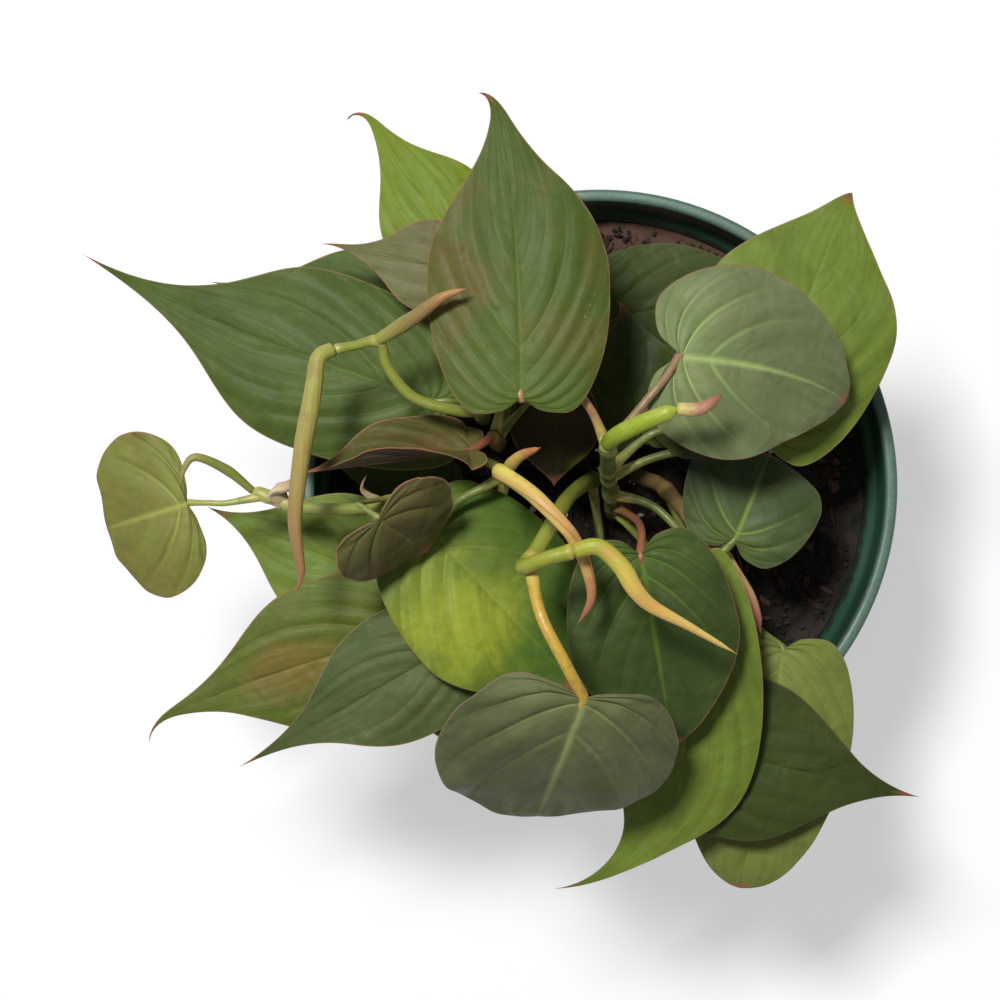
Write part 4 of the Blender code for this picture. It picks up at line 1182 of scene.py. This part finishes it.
# %% The finishes of a leaf
def blade_marks(f, veins):
    """The measures a blade's finish is drawn with: how far out from the midrib, the veins' mask, how
    near the junction, streaks that run with the veins, the share of the length and of the half width."""
    across_map, v = f.map("blade")
    u = f.math("ABSOLUTE", f.math("MULTIPLY_ADD", across_map, 2.0, -1.0))
    origin = f.math("SUBTRACT", v, f.times(f.math("POWER", u, 1.5), VEIN_CURVE))
    phase = f.times(origin, float(veins))
    between = f.math("PINGPONG", phase, 0.5)
    fx, fy = f.map("flat")
    x = f.math("MULTIPLY_ADD", fx, 2.0, -0.5)
    y = f.math("MULTIPLY_ADD", fy, 4.0, -2.0)
    span = f.math("SQRT", f.math("ADD", f.times(x, x), f.times(y, y, 0.2)))
    glow = f.ramp(span, 0.5, 0.02)
    side = f.times(f.ramp(between, 0.11, 0.0), f.ramp(u, 1.0, 0.2, 0.05, 1.0), f.ramp(origin, *VEINS_END))
    side = f.times(side, f.math("MULTIPLY_ADD", glow, 0.6, 0.4))
    mid = f.times(f.ramp(u, 0.07, 0.0), f.ramp(x, 1.0, 0.1, 0.4, 1.0))
    half_side = f.math("GREATER_THAN", across_map, 0.5)
    way = f.node("ShaderNodeCombineXYZ", (f.times(phase, 1.7), f.times(u, 0.9), f.times(half_side, 7.0)))
    streak = f.noise(1.6, 3, 0.55, where=way.outputs[0])
    return u, f.math("MAXIMUM", mid, side), streak, glow, x, y


def blade_upper(name, look, veins):
    """The velvet face: clouded base and mottle, a patch, paler veins, and a pink-brown margin and tip."""
    f = Finish(name, 0.6, Sheen_Weight=look.sheen, Sheen_Roughness=0.3, Specular_IOR_Level=0.17,
               Sheen_Tint=tone(206, 214, 176))
    u, vein, streak, glow, x, y = blade_marks(f, veins)
    cloud = f.noise(70, 4, 0.6, warp=0.4)
    fine = f.noise(420, 4, 0.65)
    swell = f.noise(110, 2, 0.5, warp=0.5)
    skin = f.mix(f.ramp(cloud, 0.42, 0.68, 0.0, look.mottling), look.base, look.mottle)
    px, py, size = look.patch
    if size:
        dx = f.math("SUBTRACT", x, px)
        dy = f.times(f.math("SUBTRACT", y, py), 0.45)
        away = f.math("SQRT", f.math("ADD", f.times(dx, dx), f.times(dy, dy)))
        away = f.math("MULTIPLY_ADD", f.math("SUBTRACT", cloud, 0.5), -0.45, away)
        skin = f.over(skin, away, size * 0.75, size * 0.12, look.patch_share, look.patch_colour)
    deep = tuple(0.68 * value for value in look.base)
    skin = f.over(skin, streak, 0.36, 0.72, 0.30, deep)
    skin = f.over(skin, fine, 0.4, 0.75, 0.2, deep)
    skin = f.mix(f.times(glow, 0.22), skin, look.vein)
    skin = f.mix(f.times(vein, look.veining), skin, look.vein)
    inside, ray = f.map("edge")
    skin = f.over(skin, f.math("MULTIPLY_ADD", fine, 0.03, inside), 0.06, 0.03, 0.6, look.margin)
    tip = f.times(f.ramp(x, 0.80, 0.97, 0.0, 0.85), f.ramp(ray, 0.05, 0.028))
    f.colour(f.mix(tip, skin, TIP_BROWN))
    f.rough(f.ramp(streak, 0.3, 0.7, 0.5, 0.68))
    nap = f.noise(2600, 2, 0.6)
    f.bump((swell, 1.1 * MM), (streak, 0.22 * MM), (vein, -0.12 * MM), (fine, 0.03 * MM),
           (nap, 0.02 * MM))
    return f.material


def blade_lower(name, look, veins):
    """The dull under side: its own colour clouded with the upper one, and raised veins."""
    f = Finish(name, 0.66, Sheen_Weight=0.1, Specular_IOR_Level=0.35)
    u, vein = blade_marks(f, veins)[:2]
    cloud = f.noise(90, 4, 0.6)
    skin = f.over(look.under, cloud, 0.4, 0.7, 0.6, look.base)
    skin = f.mix(f.times(vein, 0.75), skin, look.petiole)
    f.colour(f.over(skin, u, 0.96, 1.0, 0.85, look.margin))
    f.rough(f.ramp(cloud, 0.3, 0.7, 0.58, 0.76))
    f.bump((vein, 0.12 * MM), (f.noise(1200, 3, 0.6), 0.05 * MM))
    return f.material


def petiole_skin(name, look):
    """The leaf stalk: its colour is yellower at the base and flushed in streaks along its length."""
    f = Finish(name, 0.45, Subsurface_Weight=0.08, Subsurface_Scale=0.002)
    share = f.map("blade")[1]
    streak = f.noise(600, 3, 0.6, stretch=(1.0, 1.0, 0.15))
    skin = f.mix(f.ramp(share, 0.0, 0.25), STALK_BASE, look.petiole)
    skin = f.over(skin, share, 0.82, 1.0, 0.7, look.vein)
    f.colour(f.over(skin, streak, 0.45, 0.7, 0.5, tuple(0.72 * value for value in look.petiole)))
    f.rough(f.ramp(streak, 0.3, 0.7, 0.38, 0.56))
    f.bump((streak, 0.08 * MM))
    return f.material


# %% Grow the leaves
PETIOLE_SIDES = 12
UNDER_BLADE = 0.18
BASE_SWELL, JOINT_SWELL, CHANNEL = 0.4, 0.15, 0.14


def petiole_surface(leaf):
    """The stalk from inside its vine, through its way, to under the blade, where it fades into the
    midrib. Radius = PETIOLE_RADIUS times (stalk + BASE_SWELL bell at the base + JOINT_SWELL bell at the
    junction), with a shallow channel along its upper side."""
    length = leaf.length * MM
    start, _ = along(hosts[leaf.host], leaf.at)
    place, _, above = midrib_frames(leaf, np.array([0.0, 0.05, 0.11, UNDER_BLADE]) * length)
    under = place - above * np.array([[0.9], [0.9], [0.7], [0.35]]) * MM
    way = [start] + [on_pot(point) for point in leaf.via] + list(under)
    path = smooth_path(way, 0.9 * MM)
    reach = reach_of(path)
    end = reach[-1] - UNDER_BLADE * length
    bell = np.exp(-(reach / (6 * MM)) ** 2)
    joint = np.exp(-((reach - end) / (2.4 * MM)) ** 2)
    fade = np.clip((reach[-1] - reach) / (UNDER_BLADE * length), 0.12, 1) ** 0.8
    radius = PETIOLE_RADIUS * (leaf.stalk + BASE_SWELL * bell + JOINT_SWELL * joint) * fade
    a = np.arange(PETIOLE_SIDES) * 2 * math.pi / PETIOLE_SIDES
    channel = 1 - CHANNEL * np.exp(-((a - math.pi / 2) / 0.5) ** 2)
    return swept(path, radius[:, None] * channel, PETIOLE_SIDES), swept_uv(path, PETIOLE_SIDES)


def leaf_mesh(leaf, index):
    """The blade's closed shell and its stalk as one mesh with three finishes: upper, under, stalk."""
    upper, lower, vein_map, flat_map, edge_map = blade_grids(leaf, index)
    stalk, stalk_map = petiole_surface(leaf)
    top, low, rim = shell(upper, lower)
    stalk_faces = grid_faces(*stalk.shape[:2], start=2 * upper[..., 0].size, wrap=True)
    points = np.vstack([part.reshape(-1, 3) for part in (upper, lower, stalk)])
    parts = {"blade": (vein_map, stalk_map), "flat": (flat_map, 0 * stalk_map),
             "edge": (edge_map, 0 * stalk_map)}
    maps = {label: np.vstack([m.reshape(-1, 2) for m in (face, face, tube)])
            for label, (face, tube) in parts.items()}
    faces = np.vstack([top, low, rim, stalk_faces])
    slots = np.concatenate([np.zeros(len(top)), np.ones(len(low)), np.zeros(len(rim)),
                            np.full(len(stalk_faces), 2)])
    return mesh_of(leaf.name, points, faces, maps, slots)


finished = {}


def leaf_finishes(leaf):
    """The three finishes of the leaf's look; leaves with one look and one vein count share them."""
    veins = vein_count(leaf)
    label = f"{leaf.look}_{veins}"
    if label not in finished:
        look = LOOKS[leaf.look]
        finished[label] = (blade_upper(label + "_upper", look, veins),
                           blade_lower(label + "_under", look, veins),
                           petiole_skin(label + "_stalk", look))
    return finished[label]


faces_grown = 0
for index, leaf in enumerate(LEAVES):
    mesh = leaf_mesh(leaf, index)
    put(leaf.name.replace("leaf", "blade"), mesh, leaf_finishes(leaf), leaf.name)
    faces_grown += len(mesh.polygons)
print("leaves grown:", len(LEAVES), "with", faces_grown, "faces")

# %% [markdown]
# ## Floor, light and camera
# The plant stands on a pale floor under one broad soft lamp from behind its left side, and an even pale
# sky fills the shadows. The camera looks straight down from about arm's length above the leaves.

# %% The floor
def pale_floor():
    """A nearly white floor with a trace of cloudiness. Part of its brightness is its own light, as a
    backlit table's is, so the shadows on it stay pale."""
    f = Finish("pale_floor", 0.8, Specular_IOR_Level=0.2, Emission_Color=(1.0, 1.0, 1.0, 1.0),
               Emission_Strength=0.47)
    f.colour(f.mix(f.noise(3, 2, 0.5), (170, 170, 171), (174, 174, 175)))
    return f.material


FLOOR_HALF = 3.0
floor_mesh = bpy.data.meshes.new("floor")
floor_corners = ((-1, -1), (1, -1), (1, 1), (-1, 1))
floor_mesh.from_pydata([(x * FLOOR_HALF, y * FLOOR_HALF, 0) for x, y in floor_corners], [],
                       [(0, 1, 2, 3)])
floor_mesh.materials.append(pale_floor())
floor = bpy.data.objects.new("floor", floor_mesh)
bpy.context.scene.collection.objects.link(floor)

# %% Light
LAMP_PLACE = (-0.46, 0.60, 1.95)
LAMP_SIDE = 0.34
LAMP_WATTS = 51.0
LAMP_AIM = (0.0, 0.0, 0.1)
SKY = 0.27
WHITE = (1.0, 1.0, 1.0, 1.0)
lamp_data = bpy.data.lights.new("soft_lamp", "AREA")
lamp_data.shape, lamp_data.size, lamp_data.energy = "SQUARE", LAMP_SIDE, LAMP_WATTS
lamp = bpy.data.objects.new("soft_lamp", lamp_data)
lamp.location = LAMP_PLACE
aim = np.array(LAMP_AIM) - np.array(LAMP_PLACE)
tilt = math.acos(-aim[2] / np.linalg.norm(aim))
lamp.rotation_euler = (tilt, 0, math.atan2(aim[1], aim[0]) - math.pi / 2)
bpy.context.scene.collection.objects.link(lamp)
world = bpy.data.worlds.new("sky")
world.use_nodes = True
background = world.node_tree.nodes["Background"].inputs
background["Color"].default_value, background["Strength"].default_value = WHITE, SKY
bpy.context.scene.world = world
bpy.context.scene.view_settings.view_transform = "Standard"

# %% Camera
CAMERA_PLACE = (-0.0255, -0.0033, 0.912)
FRAME_WIDTH_AT_RIM = 0.255
SENSOR = 36.0
camera_data = bpy.data.cameras.new("camera")
camera_data.sensor_width = SENSOR
camera_data.lens = SENSOR * (CAMERA_PLACE[2] - POT_HEIGHT) / FRAME_WIDTH_AT_RIM
camera = bpy.data.objects.new("camera", camera_data)
camera.location = CAMERA_PLACE
bpy.context.scene.collection.objects.link(camera)
bpy.context.scene.camera = camera
print("lens:", round(camera_data.lens, 1), "mm")
